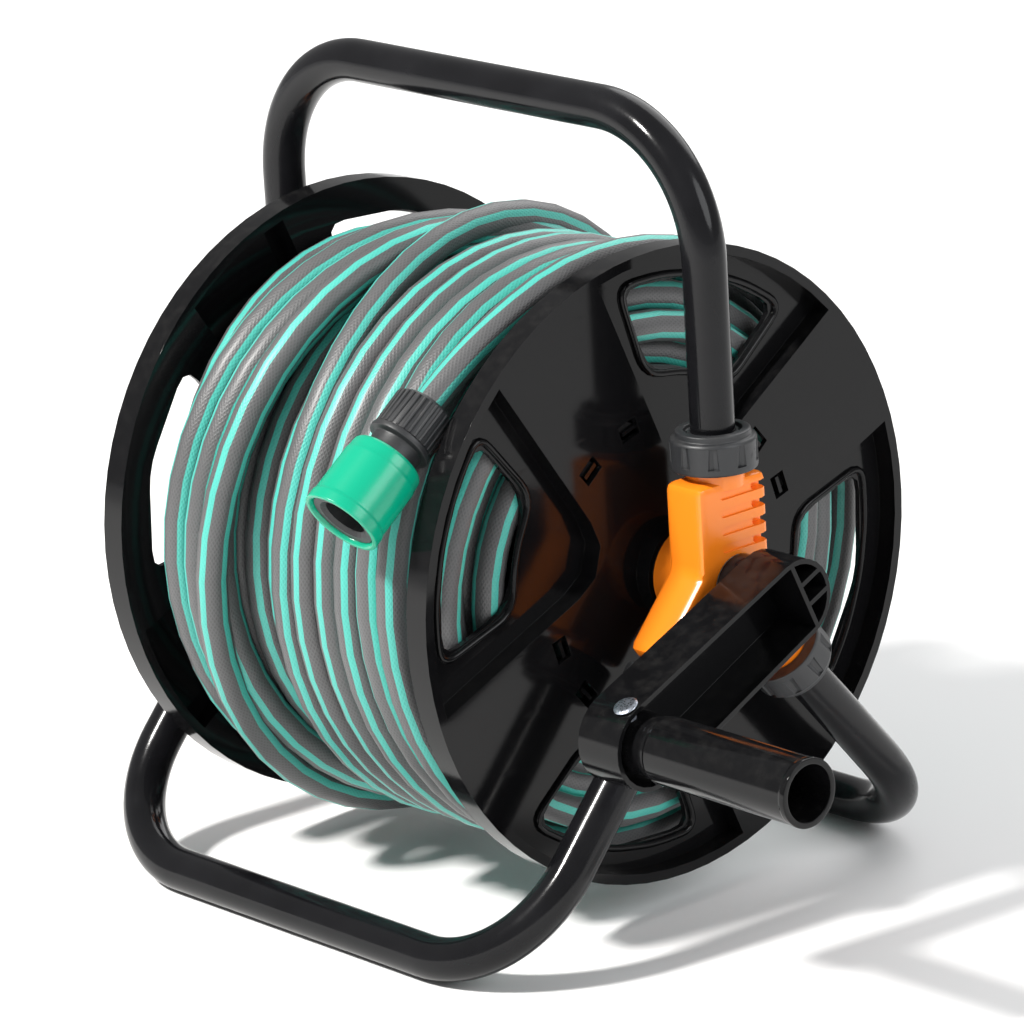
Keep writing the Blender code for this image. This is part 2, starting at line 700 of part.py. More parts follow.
# ---------------------------------------------------------------- crank

def capsule(hub_r, end_r, steps=12):
    """The outline around a circle at the hub and one at the grip's pin, with their tangents."""
    lean = math.asin((hub_r - end_r) / PIN_U)
    right = arc(end_r, -math.pi / 2 + lean, math.pi / 2 - lean, steps, (PIN_U, 0))
    left = arc(hub_r, math.pi / 2 - lean, 3 * math.pi / 2 + lean, steps)
    return right + left


def channel_outline():
    """The arm's open channel: the inner capsule, cut off straight at the web."""
    near, far = ARM_HUB_R - ARM_WALL, ARM_END_R - ARM_WALL
    stop = WEB_U + ARM_WALL / 2
    lean = math.asin((near - far) / PIN_U)
    end = arc(far, -math.pi / 2 + lean, math.pi / 2 - lean, 12, (PIN_U, 0))
    half = math.sqrt(near ** 2 - stop ** 2)
    return end + [(0, near), (stop, half), (stop, -half), (0, -near)]


def lattice_outlines():
    """The three cells between the web, two short ribs and the round hub end."""
    inside = ARM_HUB_R - ARM_WALL
    flat = WEB_U - ARM_WALL / 2
    top = math.sqrt(inside ** 2 - flat ** 2)
    rib = ARM_WALL / 2
    third = top / 3
    cells = []
    for low, high in ((-top, -third - rib), (-third + rib, third - rib), (third + rib, top)):
        start, stop = (math.asin(max(-1, min(1, v / inside))) for v in (low, high))
        round_side = arc(inside, math.pi - start, math.pi - stop, 4)
        cells.append([(flat, high), (flat, low)] + [p for p in round_side if p[0] < flat - rib / 4])
    return cells


def crank_arm():
    back, rim = ARM_BACK_X, ARM_BACK_X + ARM_DEPTH
    arm = plate("crank_arm", [capsule(ARM_HUB_R, ARM_END_R)], back, rim)
    floor = back + ARM_WALL
    for label, outlines in (("channel", [channel_outline()]), ("lattice", lattice_outlines())):
        cut(arm, as_helper(plate(f"crank_{label}", outlines, floor, rim + GAP), crank_frame))
    boss_end = BRACKET_OUT + 2 * RUN_GAP
    hex_end = FLANGE_INNER_X - HUB_INNER_DEPTH + GAP
    hub_end = HUB_FACE - GAP - BUSH_LIP
    shaft_profile = [
        (0, floor - GAP), (ARM_BOSS_R, floor - GAP), (ARM_BOSS_R, boss_end), (SHAFT_R, boss_end),
        (SHAFT_R, hub_end), (0, hub_end),
    ]
    join(arm, as_helper(turned("crank_shaft", shaft_profile), crank_frame))
    hexagon = cylinder("crank_hex", HEX_R, hex_end, hub_end + 2 * FLANGE_WALL, 6)
    join(arm, as_helper(hexagon, crank_frame))
    bore_end = hex_end + SCREW_LENGTH + GAP
    screw_hole = cylinder("crank_screw_hole", SCREW_R + GAP, hex_end - GAP, bore_end, 12)
    cut(arm, as_helper(screw_hole, crank_frame))
    pin_hole = cylinder("crank_pin_hole", PIN_R + GAP, -2 * ARM_END_R, 2 * ARM_END_R, 12)
    as_helper(pin_hole, crank_frame)
    pin_hole.location = (PIN_U, 0, PIN_X)
    pin_hole.rotation_euler = (math.pi / 2, 0, 0)
    cut(arm, pin_hole)
    return finish(arm, "black_plastic", crank_frame)


def crank_screw():
    """The screw and washer that hold the crank's shaft in the drum, from inside it."""
    seat = FLANGE_INNER_X - HUB_INNER_DEPTH
    face = seat - GAP
    washer_low = face - WASHER_THICK
    washer = turned("crank_washer", [
        (SCREW_R + GAP, washer_low), (WASHER_R, washer_low), (WASHER_R, face), (SCREW_R + GAP, face),
    ])
    head = washer_low - GAP
    screw = turned("crank_screw", [
        (0, head - 0.003), (0.0048, head - 0.003), (0.0048, head), (SCREW_R, head),
        (SCREW_R, seat + SCREW_LENGTH - GAP), (0, seat + SCREW_LENGTH - GAP),
    ], 12)
    for obj in (washer, screw):
        obj.rotation_euler = SIDE_VIEW
        finish(obj, "steel", drum_axis)


def grip_pin():
    """The rivet that the grip folds on, with a low head at each side of the arm."""
    seat = ARM_END_R + GAP
    top = seat + PIN_HEAD
    profile = [
        (0, top), (PIN_HEAD_R * 0.7, top), (PIN_HEAD_R, seat + PIN_HEAD / 3),
        (PIN_HEAD_R, seat), (PIN_R, seat),
    ]
    profile += [(radius, -height) for radius, height in profile[::-1]]
    pin = turned("grip_pin", profile, 16)
    pin.location = (PIN_U, 0, PIN_X)
    pin.rotation_euler = (math.pi / 2, 0, 0)
    return finish(pin, "steel", crank_frame)


def crank_grip():
    """The hollow grip, turned about its own axis from the pin outwards, with a round root."""
    flare = GRIP_R + GRIP_FLARE
    root = [polar(GRIP_ROOT_R, math.radians(angle)) for angle in range(-90, 19, 18)]
    root[0] = (0, -GRIP_ROOT_R)
    body = [
        (GRIP_ROOT_R - GRIP_WALL / 2, GRIP_NECK), (GRIP_R, GRIP_SHOULDER),
        (GRIP_R, GRIP_LENGTH - 2 * GRIP_WALL), (flare, GRIP_LENGTH - GRIP_WALL),
        (flare, GRIP_LENGTH), (GRIP_R - GRIP_WALL, GRIP_LENGTH),
        (GRIP_R - GRIP_WALL, GRIP_SHOULDER + 2 * GRIP_WALL), (0, GRIP_SHOULDER + 2 * GRIP_WALL),
    ]
    grip = turned("crank_grip", root + body)
    hole = as_helper(cylinder("grip_pin_hole", PIN_R + RUN_GAP, -GRIP_R, GRIP_R, 12), grip_axis)
    hole.rotation_euler = (math.pi / 2, 0, 0)
    cut(grip, hole)
    return finish(grip, "black_plastic", grip_axis)


# ---------------------------------------------------------------- water way

def inlet_nipple():
    """The fixed inlet: a nipple for a tap hose outside, and a spigot into the drum's elbow."""
    plate_in = BRACKET_OUT + GAP
    plate_out = plate_in + PLATE_THICK
    tip = BRACKET_OUT + NIPPLE_OUT
    groove = SEAL_R
    seal = NIPPLE_IN_X + 4 * SEAL_R
    neck = NIPPLE_R - groove
    outside = [
        (NIPPLE_BORE_R, NIPPLE_IN_X), (NIPPLE_R, NIPPLE_IN_X), (NIPPLE_R, seal - 1.3 * SEAL_R),
        (neck, seal - 1.3 * SEAL_R), (neck, seal + 1.3 * SEAL_R), (NIPPLE_R, seal + 1.3 * SEAL_R),
        (NIPPLE_R, plate_in), (PLATE_R, plate_in), (PLATE_R, plate_out), (NIPPLE_R, plate_out),
        (NIPPLE_R, tip - 0.016), (NIPPLE_RIDGE_R, tip - 0.014), (NIPPLE_RIDGE_R, tip - 0.011),
        (neck, tip - 0.010), (neck, tip - 0.007), (NIPPLE_R, tip - 0.006),
        (NIPPLE_R - 0.0005, tip), (NIPPLE_BORE_R, tip),
    ]
    nipple = turned("inlet_nipple", [(radius, -x) for radius, x in outside])
    nipple.rotation_euler = SIDE_VIEW
    holes = []
    for index in range(2):
        hole = cylinder("hole", PLATE_SCREW_R + GAP, -plate_out - GAP, -plate_in + GAP, 12)
        hole.location = (0, (2 * index - 1) * PLATE_SCREW_AT, 0)
        holes.append(hole)
    bpy.context.view_layer.update()
    shape = as_helper(group("inlet_plate_holes", holes))
    shape.rotation_euler = SIDE_VIEW
    cut(nipple, shape)
    return finish(nipple, "black_plastic")


def inlet_screws():
    head_low = -(BRACKET_OUT + 2 * GAP + PLATE_THICK)
    tip = head_low + PLATE_SCREW_LENGTH
    profile = [
        (0, head_low - 0.002), (PLATE_SCREW_HEAD_R, head_low - 0.002), (PLATE_SCREW_HEAD_R, head_low),
        (PLATE_SCREW_R, head_low), (PLATE_SCREW_R, tip), (0, tip),
    ]
    for index, label in enumerate(("lower", "upper")):
        screw = turned(f"inlet_screw_{label}", profile, 12)
        screw.rotation_euler = SIDE_VIEW
        screw.location = (0, 0, (2 * index - 1) * PLATE_SCREW_AT)
        hole_name = f"left_bracket_{label}_screw_hole"
        hole = cylinder(hole_name, PLATE_SCREW_R + GAP, -BRACKET_OUT - GAP, tip + GAP, 12)
        hole.rotation_euler = SIDE_VIEW
        hole.location = screw.location
        cut(left_bracket, as_helper(hole))
        finish(screw, "steel")


def inlet_seal():
    """The ring in the nipple's groove, which the drum's elbow turns on."""
    middle_r = NIPPLE_R + (RUN_GAP - SEAL_R) / 2
    section = arc(INLET_SEAL_R, 0, 1.75 * math.pi, 7, (middle_r, -(NIPPLE_IN_X + 4 * SEAL_R)))
    ring = turned("inlet_seal", section, 20)
    ring.rotation_euler = SIDE_VIEW
    return finish(ring, "seal_rubber")


def drum_elbow():
    """The elbow inside the drum: a socket round the nipple, and an outlet through the core."""
    seat = FLANGE_INNER_X - 2 * GAP
    bore = NIPPLE_R + RUN_GAP
    elbow = cylinder("drum_elbow", ELBOW_R, -seat, -ELBOW_IN_X)
    elbow.rotation_euler = SIDE_VIEW
    outlet = as_helper(cylinder("elbow_outlet", OUTLET_R, 0, CORE_R - CORE_WALL / 2, 16), drum_axis)
    outlet.location = (OUTLET_X, 0, 0)
    join(elbow, outlet)
    socket = as_helper(cylinder("elbow_socket", bore, -seat - GAP, -(NIPPLE_IN_X - GAP)), drum_axis)
    socket.rotation_euler = SIDE_VIEW
    cut(elbow, socket)
    low, high = -(NIPPLE_IN_X + GAP), -(ELBOW_IN_X + FLANGE_WALL)
    way = as_helper(cylinder("elbow_way", OUTLET_BORE_R, low, high, 16), drum_axis)
    way.rotation_euler = SIDE_VIEW
    cut(elbow, way)
    up = as_helper(cylinder("elbow_up", OUTLET_BORE_R, 0.0005, CORE_R + GAP, 16), drum_axis)
    up.location = (OUTLET_X, 0, 0)
    cut(elbow, up)
    return finish(elbow, "black_plastic", drum_axis)


# ---------------------------------------------------------------- hose and connector

def hose_coil():
    """The wound hose as one plain ring between the flanges, a layer lower under the connector."""
    end = FLANGE_INNER_X - GAP
    inside = CORE_R + GAP
    outside = [(COIL_R, -end), (COIL_R, COIL_STEP_X), (COIL_LOW_R, COIL_STEP_X), (COIL_LOW_R, end)]
    ring = turned("hose_coil", [(inside, -end), *outside, (inside, end)], 64)
    ring.rotation_euler = SIDE_VIEW
    return finish(ring, "hose_grey", drum_axis)


def tail_points():
    """The last turn, over the top of the coil and into the connector's nut."""
    end = CONNECTOR_AT - CONNECTOR_WAY * GAP
    points = []
    steps = 22
    for step in range(steps):
        angle = TAIL_START + (TAIL_LIFT - TAIL_START) * step / (steps - 1)
        points.append(Vector((TAIL_X, *polar(TAIL_R, angle))))
    first, last = points[-1], end
    pull = (last - first).length * 0.4
    leave = Vector((0, -math.sin(TAIL_LIFT), math.cos(TAIL_LIFT)))
    a, b = first + leave * pull, last - CONNECTOR_WAY * pull
    for step in range(1, 6):
        t = step / 5
        s = 1 - t
        points.append(first * s ** 3 + a * 3 * t * s ** 2 + b * 3 * t ** 2 * s + last * t ** 3)
    return points


def hose_tail():
    tail = tube_through("hose_tail", tail_points(), HOSE_R, 10)
    return finish(tail, "hose_grey", drum_axis)


def on_connector(name, profile, material, parent, steps=ROUND):
    piece = turned(name, profile, steps)
    if parent is not sleeve_axis:
        piece.location = CONNECTOR_AT
        piece.rotation_euler = towards(CONNECTOR_WAY)
    return finish(piece, material, parent)


def connector():
    nut_end = CONNECTOR_NUT_LENGTH
    thread = CONNECTOR_NECK_R - GAP
    on_connector("connector_nut", [
        (HOSE_R + GAP, 0), (CONNECTOR_NUT_R - 0.0015, 0), (CONNECTOR_NUT_R, nut_end),
        (thread + GAP, nut_end), (thread + GAP, 0.003), (HOSE_R + GAP, 0.003),
    ], "collar_plastic", drum_axis)
    bore, socket_r = 0.0062, CONNECTOR_SOCKET_R
    socket_start = CONNECTOR_BARREL_END - 0.014
    ring_start, ring_end = nut_end + GAP, nut_end + 0.0032
    on_connector("connector_body", [
        (bore, 0.004), (thread, 0.004), (thread, ring_start), (CONNECTOR_NUT_R + GAP, ring_start),
        (CONNECTOR_NUT_R + GAP, ring_end), (CONNECTOR_NECK_R, ring_end),
        (CONNECTOR_NECK_R, CONNECTOR_NECK_END), (CONNECTOR_BARREL_R, CONNECTOR_NECK_END),
        (CONNECTOR_BARREL_R, CONNECTOR_BARREL_END),
        (socket_r, CONNECTOR_BARREL_END), (socket_r, socket_start), (bore, socket_start),
    ], "collar_plastic", drum_axis)
    lock_start, lock_end = CONNECTOR_BARREL_END + GAP, SLEEVE_END - 0.002
    on_connector("connector_lock_ring", [
        (socket_r, lock_start), (SLEEVE_R - 0.0036, lock_start), (SLEEVE_R - 0.0036, lock_end),
        (socket_r + 0.002, lock_end), (socket_r, lock_end - 0.002),
    ], "collar_plastic", drum_axis)
    seal_out = socket_r - GAP
    seal_middle = (seal_out - SEAL_R, socket_start + 2 * SEAL_R)
    seal_outline = arc(SEAL_R, 0, 1.75 * math.pi, 7, seal_middle)
    on_connector("connector_seal", seal_outline, "seal_rubber", drum_axis, 20)
    neck_hole, barrel_hole = CONNECTOR_NECK_R + RUN_GAP, CONNECTOR_BARREL_R + RUN_GAP
    mouth = SLEEVE_R - 0.0036 + RUN_GAP
    on_connector("connector_sleeve", [
        (neck_hole, SLEEVE_START), (SLEEVE_R - 0.0007, SLEEVE_START), (SLEEVE_R, SLEEVE_END),
        (mouth + 0.001, SLEEVE_END), (mouth, SLEEVE_END - 0.002),
        (mouth, CONNECTOR_BARREL_END - 0.0005), (barrel_hole, CONNECTOR_BARREL_END - 0.0015),
        (barrel_hole, SLEEVE_START + 0.0025), (neck_hole, SLEEVE_START + 0.0025),
    ], "green_plastic", sleeve_axis)


# ---------------------------------------------------------------- joints' frames

def empty(name, parent, location=(0, 0, 0), rotation=(0, 0, 0)):
    frame = bpy.data.objects.new(name, None)
    REEL.objects.link(frame)
    frame.parent = parent
    frame.location = location
    frame.rotation_euler = rotation
    return frame


drum_axis = empty("drum_axis", reel_middle)
crank_frame = empty("crank_frame", drum_axis, rotation=SIDE_VIEW)
crank_frame.rotation_euler = (Matrix.Rotation(ARM_ANGLE, 3, "X") @ SIDE_VIEW.to_matrix()).to_euler()
grip_axis = empty("grip_axis", crank_frame, (PIN_U, 0, PIN_X))
sleeve_axis = empty("sleeve_axis", drum_axis, CONNECTOR_AT, towards(CONNECTOR_WAY))

u_tube("handle_tube", "handle")
u_tube("front_foot_tube", "front")
u_tube("rear_foot_tube", "rear")
right_bracket = bracket("right_bracket", 1)
left_bracket = bracket("left_bracket", -1)
nuts_and_rings()
bush("right_bush", 1)
bush("left_bush", -1)
flange("right_flange", 1, None)
flange("left_flange", -1, BRACKET_OUT - 2 * GAP)
drum_core()
crank_arm()
crank_screw()
grip_pin()
crank_grip()
inlet_nipple()
inlet_screws()
inlet_seal()
drum_elbow()
hose_coil()
hose_tail()
connector()
bpy.context.view_layer.update()
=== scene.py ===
"""Portable garden hose reel: its detailed pieces and finishes in a plain studio."""

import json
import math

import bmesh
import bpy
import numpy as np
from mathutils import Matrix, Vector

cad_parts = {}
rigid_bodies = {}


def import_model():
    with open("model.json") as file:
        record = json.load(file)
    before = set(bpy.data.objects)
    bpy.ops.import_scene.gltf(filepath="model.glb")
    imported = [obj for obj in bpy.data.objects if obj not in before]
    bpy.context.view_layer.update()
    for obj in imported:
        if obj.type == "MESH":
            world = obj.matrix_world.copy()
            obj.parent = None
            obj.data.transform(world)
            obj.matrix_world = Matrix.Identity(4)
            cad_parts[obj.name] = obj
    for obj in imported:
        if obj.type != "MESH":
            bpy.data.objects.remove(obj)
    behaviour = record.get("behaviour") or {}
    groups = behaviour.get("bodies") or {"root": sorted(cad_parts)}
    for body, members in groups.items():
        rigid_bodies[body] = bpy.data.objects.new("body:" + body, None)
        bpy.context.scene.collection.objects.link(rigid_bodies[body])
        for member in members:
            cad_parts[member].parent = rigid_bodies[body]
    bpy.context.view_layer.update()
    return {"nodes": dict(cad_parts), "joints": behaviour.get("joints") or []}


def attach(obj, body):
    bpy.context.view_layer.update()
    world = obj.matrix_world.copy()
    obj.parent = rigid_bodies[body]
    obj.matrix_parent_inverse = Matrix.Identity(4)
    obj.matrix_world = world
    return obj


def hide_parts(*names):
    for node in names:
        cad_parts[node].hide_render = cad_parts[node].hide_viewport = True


bl_info = {
    "name": "Garden Hose Reel",
    "version": (1, 0, 0),
    "blender": (4, 5, 0),
    "location": "View3D > Sidebar > Hose Reel",
    "description": "Builds the detailed hose reel, its materials and its studio",
    "category": "Add Mesh",
}

for startup in list(bpy.data.objects):
    bpy.data.objects.remove(startup, do_unlink=True)
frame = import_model()

# The drum's middle, on its axis: every size below is measured from it.
MIDDLE = Vector(next(joint for joint in frame["joints"] if joint["name"] == "drum_turn")["pos_m"])
LEG_X = 0.157                 # a frame leg's plane, from the drum's middle
TUBE_R = 0.011
TUBE_START = 0.031            # where a tube starts inside its socket
LEGS = {                      # angle in the side view, drum axis to the bar, bend radius
    "handle": (math.pi / 2, 0.2263, 0.0675),
    "front": (math.pi + math.asin(0.1667 / 0.2234), 0.2234, 0.063),
    "rear": (-math.asin(0.1667 / 0.2195), 0.2195, 0.063),
}
BEND_STEPS = 24
NUT_FROM = 0.0575             # a collar nut's inner end, from the drum's axis
NUT_NOTCHES = 9
NUT_TURN = math.radians(16)   # how far each nut is screwed round
WINDOWS = 4                   # in each flange
WINDOW_ANGLE = math.radians(-16.5)
WINDOW_NEAR = (0.0957, math.radians(17.6))    # radius, half its angle
WINDOW_FAR = (0.1443, math.radians(23.2))
WINDOW_CORNER = 0.011
POCKET_X = 0.1123             # a pocket's floor, from the drum's middle
LIP_R = 0.0019                # of the round bead along a window
FASTENER_ROUNDING = 0.00025
CRANK_ANGLE = math.radians(204.6)
GRIP_AT = Vector((0.2058, 0.1105 * math.cos(CRANK_ANGLE), 0.1105 * math.sin(CRANK_ANGLE)))

HOSE_R = 0.008
END_X = 0.1005                # the winding's reach to each side
LAYER_TURNS = 12
LAYER_R = (0.0884, 0.1021, 0.1158, 0.1295, 0.1432)
OVER_R = LAYER_R[-1] + 0.0118                 # of the strand that crosses over its neighbours
SLANT = 0.025                 # how far the first loose turns lean along the drum
SLANT_ANGLE = math.radians(200)
TAIL_X, TAIL_R = 0.089, 0.1515                # the last strand, beside the crank-side rim
TAIL_FROM, TAIL_TO = math.radians(28), math.radians(114)
CONNECTOR_AT = Vector((TAIL_X, -0.12095, 0.10367))
CONNECTOR_WAY = Vector((0, -0.8, -0.6))

FLOOR_REACH, FLOOR_Z = 30, -0.0004
FADE_OUT = (1.2, 5)           # where the floor starts and ends its fade to white
LENS, SENSOR = 210.6, 36
VIEW_TURN, VIEW_TILT, VIEW_ROLL = math.radians(49.1), math.radians(16.83), math.radians(-3.46)
VIEW_FROM = Vector((2.188, -1.8902, 0.8791))


# ---------------------------------------------------------------- node helpers

def node(tree, kind, x=0, y=0, inputs=None, **settings):
    """A node at a place on the sheet, with its settings, and its inputs' values or links."""
    new = tree.nodes.new(kind)
    new.location = (x, y)
    for name, value in settings.items():
        setattr(new, name, value)
    for name, value in (inputs or {}).items():
        if isinstance(value, bpy.types.NodeSocket):
            tree.links.new(value, new.inputs[name])
        else:
            new.inputs[name].default_value = value
    return new


def calculated(tree, operation, *values, x=0, y=0, clamp=False):
    """The result of a Math node on numbers and sockets."""
    given = dict(enumerate(values))
    return node(tree, "ShaderNodeMath", x, y, given, operation=operation, use_clamp=clamp).outputs[0]


def ranged(tree, value, low, high, to_low=0.0, to_high=1.0, x=0, y=0):
    """The value carried from one range to another, and held at its ends."""
    inputs = {"Value": value, "From Min": low, "From Max": high, "To Min": to_low, "To Max": to_high}
    return node(tree, "ShaderNodeMapRange", x, y, inputs).outputs[0]


def scaled(tree, colour, factor, x=0, y=0):
    """The colour made lighter or darker by a factor."""
    inputs = {0: colour, "Scale": factor}
    return node(tree, "ShaderNodeVectorMath", x, y, inputs, operation="SCALE").outputs[0]


def blended(tree, factor, first, second, x=0, y=0):
    """A colour between two, by a mask."""
    mix = node(tree, "ShaderNodeMix", x, y, data_type="RGBA")
    for socket, value in zip((mix.inputs[0], mix.inputs[6], mix.inputs[7]), (factor, first, second)):
        if isinstance(value, bpy.types.NodeSocket):
            tree.links.new(value, socket)
        else:
            socket.default_value = value
    return mix.outputs[2]


def finish_group(name, inputs):
    """An empty shader group with the given inputs that puts out a colour, a roughness and a normal."""
    tree = bpy.data.node_groups.new(name, "ShaderNodeTree")
    for label, default in inputs:
        kind = "NodeSocketColor" if isinstance(default, tuple) else "NodeSocketFloat"
        socket = tree.interface.new_socket(name=label, in_out="INPUT", socket_type=kind)
        socket.default_value = default
    for label, kind in (("Colour", "Color"), ("Roughness", "Float"), ("Normal", "Vector")):
        tree.interface.new_socket(name=label, in_out="OUTPUT", socket_type="NodeSocket" + kind)
    given = node(tree, "NodeGroupInput", -1100).outputs
    place = node(tree, "ShaderNodeTexCoord", -1100, -300).outputs
    return tree, given, place


def close_group(tree, colour, roughness, height, depth, distance):
    """Ends a shader group with its colour, its roughness and the bump of a height."""
    bump = node(tree, "ShaderNodeBump", 500, -300, {
        "Height": height, "Strength": depth, "Distance": distance})
    results = {"Colour": colour, "Roughness": roughness, "Normal": bump.outputs[0]}
    node(tree, "NodeGroupOutput", 700, 0, results)


def noise(tree, vector, scale, detail=3.0, x=0, y=0):
    inputs = {"Vector": vector, "Scale": scale, "Detail": detail}
    return node(tree, "ShaderNodeTexNoise", x, y, inputs).outputs[0]


# ---------------------------------------------------------------- finishes

def moulded_group():
    """Moulded plastic: fine grain, slow drift of tone, faint scratches and settled dust."""
    tree, given, place = finish_group("Moulded plastic", [
        ("Colour", (0.02, 0.02, 0.02, 1)), ("Roughness", 0.3), ("Grain size", 2500.0),
        ("Grain depth", 0.05), ("Scuffs", 0.3), ("Dust", 0.1)])
    grain = noise(tree, place["Object"], given["Grain size"], 3.0, -800, -500)
    drift = noise(tree, place["Object"], 22.0, 4.0, -800, -250)
    streaks = node(tree, "ShaderNodeMapping", -950, -750, {
        "Vector": place["Object"], "Scale": (900, 60, 240), "Rotation": (0.5, 0.3, 0.7)})
    lines = noise(tree, streaks.outputs[0], 1.0, 2.0, -800, -750)
    scratches = ranged(tree, lines, 0.64, 0.74, x=-600, y=-750)
    scuff = calculated(tree, "MULTIPLY", scratches, given["Scuffs"], x=-400, y=-700)
    tone = ranged(tree, drift, 0, 1, 0.84, 1.16, -600, -250)
    tinted = scaled(tree, given["Colour"], tone, -400, 0)
    facing = node(tree, "ShaderNodeNewGeometry", -1000, 300).outputs["Normal"]
    upward = node(tree, "ShaderNodeSeparateXYZ", -800, 300, {0: facing}).outputs["Z"]
    specks = ranged(tree, noise(tree, place["Object"], 160.0, 5.0, -800, 100), 0.45, 0.8, x=-600, y=100)
    lying = calculated(tree, "MAXIMUM", upward, 0.12, x=-400, y=300)
    dust = calculated(tree, "MULTIPLY", lying, specks, x=-250, y=250)
    dust = calculated(tree, "MULTIPLY", dust, given["Dust"], x=-100, y=250, clamp=True)
    colour = blended(tree, dust, tinted, (0.42, 0.4, 0.37, 1), 100, 100)
    rough = calculated(tree, "MULTIPLY_ADD", drift, 0.14, given["Roughness"], x=-400, y=-250)
    rough = calculated(tree, "ADD", rough, scuff, x=-250, y=-250)
    rough = calculated(tree, "SUBTRACT", rough, 0.07, x=-100, y=-250)
    rough = calculated(tree, "ADD", rough, dust, x=50, y=-250)
    height = calculated(tree, "MULTIPLY_ADD", scuff, -0.4, grain, x=-100, y=-500)
    close_group(tree, colour, rough, height, given["Grain depth"], 0.0004)
    return tree


def sprayed_group():
    """Sprayed gloss paint: faint orange peel and hazy patches."""
    tree, given, place = finish_group("Sprayed paint", [
        ("Colour", (0.012, 0.012, 0.014, 1)), ("Roughness", 0.2), ("Peel size", 420.0),
        ("Peel depth", 0.06), ("Haze", 0.16)])
    peel = noise(tree, place["Object"], given["Peel size"], 2.0, -800, -300)
    haze = noise(tree, place["Object"], 30.0, 6.0, -800, 0)
    patches = ranged(tree, haze, 0.35, 0.7, -0.5, 0.5, -600, 0)
    rough = calculated(tree, "MULTIPLY_ADD", patches, given["Haze"], given["Roughness"], x=-300, y=-100)
    tone = ranged(tree, haze, 0.3, 0.7, 0.8, 1.3, -600, 200)
    colour = scaled(tree, given["Colour"], tone, -300, 150)
    close_group(tree, colour, rough, peel, given["Peel depth"], 0.0005)
    return tree


def plated_group():
    """Zinc plate on steel: small crystals that differ in shine."""
    tree, given, place = finish_group("Zinc plate", [
        ("Colour", (0.52, 0.56, 0.64, 1)), ("Roughness", 0.3), ("Crystal size", 900.0)])
    cells = node(tree, "ShaderNodeTexVoronoi", -800, 0, {
        "Vector": place["Object"], "Scale": given["Crystal size"]})
    fine = noise(tree, place["Object"], 2600.0, 4.0, -800, -300)
    spread = ranged(tree, cells.outputs["Distance"], 0, 1, -0.1, 0.12, -500, 0)
    rough = calculated(tree, "ADD", spread, given["Roughness"], x=-300, y=0)
    tone = ranged(tree, cells.outputs["Distance"], 0, 1, 0.85, 1.1, -500, 200)
    close_group(tree, scaled(tree, given["Colour"], tone, -300, 150), rough, fine, 0.15, 0.0002)
    return tree


def braided_group():
    """A layered hose by its UV (turns round it, metres along it): stripes over a woven net."""
    tree, given, place = finish_group("Braided hose", [
        ("Grey", (0.1, 0.1, 0.1, 1)), ("Stripe", (0.1, 0.6, 0.5, 1)), ("Stripes", 4.0),
        ("Stripe share", 0.3), ("Yarns", 26.0), ("Yarn pitch", 330.0), ("Roughness", 0.38)])
    uv = node(tree, "ShaderNodeSeparateXYZ", -900, -100, {0: place["UV"]}).outputs
    turns = calculated(tree, "MULTIPLY", uv["X"], given["Stripes"], x=-700, y=200)
    wave = calculated(tree, "PINGPONG", turns, 0.5, x=-550, y=200)
    half = calculated(tree, "MULTIPLY", given["Stripe share"], 0.5, x=-550, y=350)
    away = calculated(tree, "SUBTRACT", half, wave, x=-400, y=200)
    stripe = ranged(tree, away, -0.008, 0.008, x=-250, y=200)
    around = calculated(tree, "MULTIPLY", uv["X"], given["Yarns"], x=-700, y=-100)
    onward = calculated(tree, "MULTIPLY", uv["Y"], given["Yarn pitch"], x=-700, y=-250)
    yarns = []
    for index, operation in enumerate(("ADD", "SUBTRACT")):
        lean = calculated(tree, operation, around, onward, x=-550, y=-100 - 150 * index)
        turn = calculated(tree, "MULTIPLY", lean, math.tau, x=-400, y=-100 - 150 * index)
        yarns.append(calculated(tree, "SINE", turn, x=-250, y=-100 - 150 * index))
    net = calculated(tree, "MAXIMUM", *yarns, x=-100, y=-150)
    showing = ranged(tree, net, -0.6, 1, -0.16, 0.12, 50, -150)
    covered = calculated(tree, "MULTIPLY_ADD", stripe, -0.72, 1.0, x=50, y=50)
    drift = noise(tree, place["Object"], 18.0, 4.0, -700, -500)
    shade = calculated(tree, "MULTIPLY_ADD", showing, covered, 0.86, x=200, y=-100)
    shade = calculated(tree, "MULTIPLY_ADD", drift, 0.28, shade, x=300, y=-200)
    colour = blended(tree, stripe, given["Grey"], given["Stripe"], 150, 250)
    rough = calculated(tree, "MULTIPLY_ADD", drift, 0.2, given["Roughness"], x=300, y=-400)
    close_group(tree, scaled(tree, colour, shade, 400, 200), rough, net, 0.22, 0.0004)
    return tree


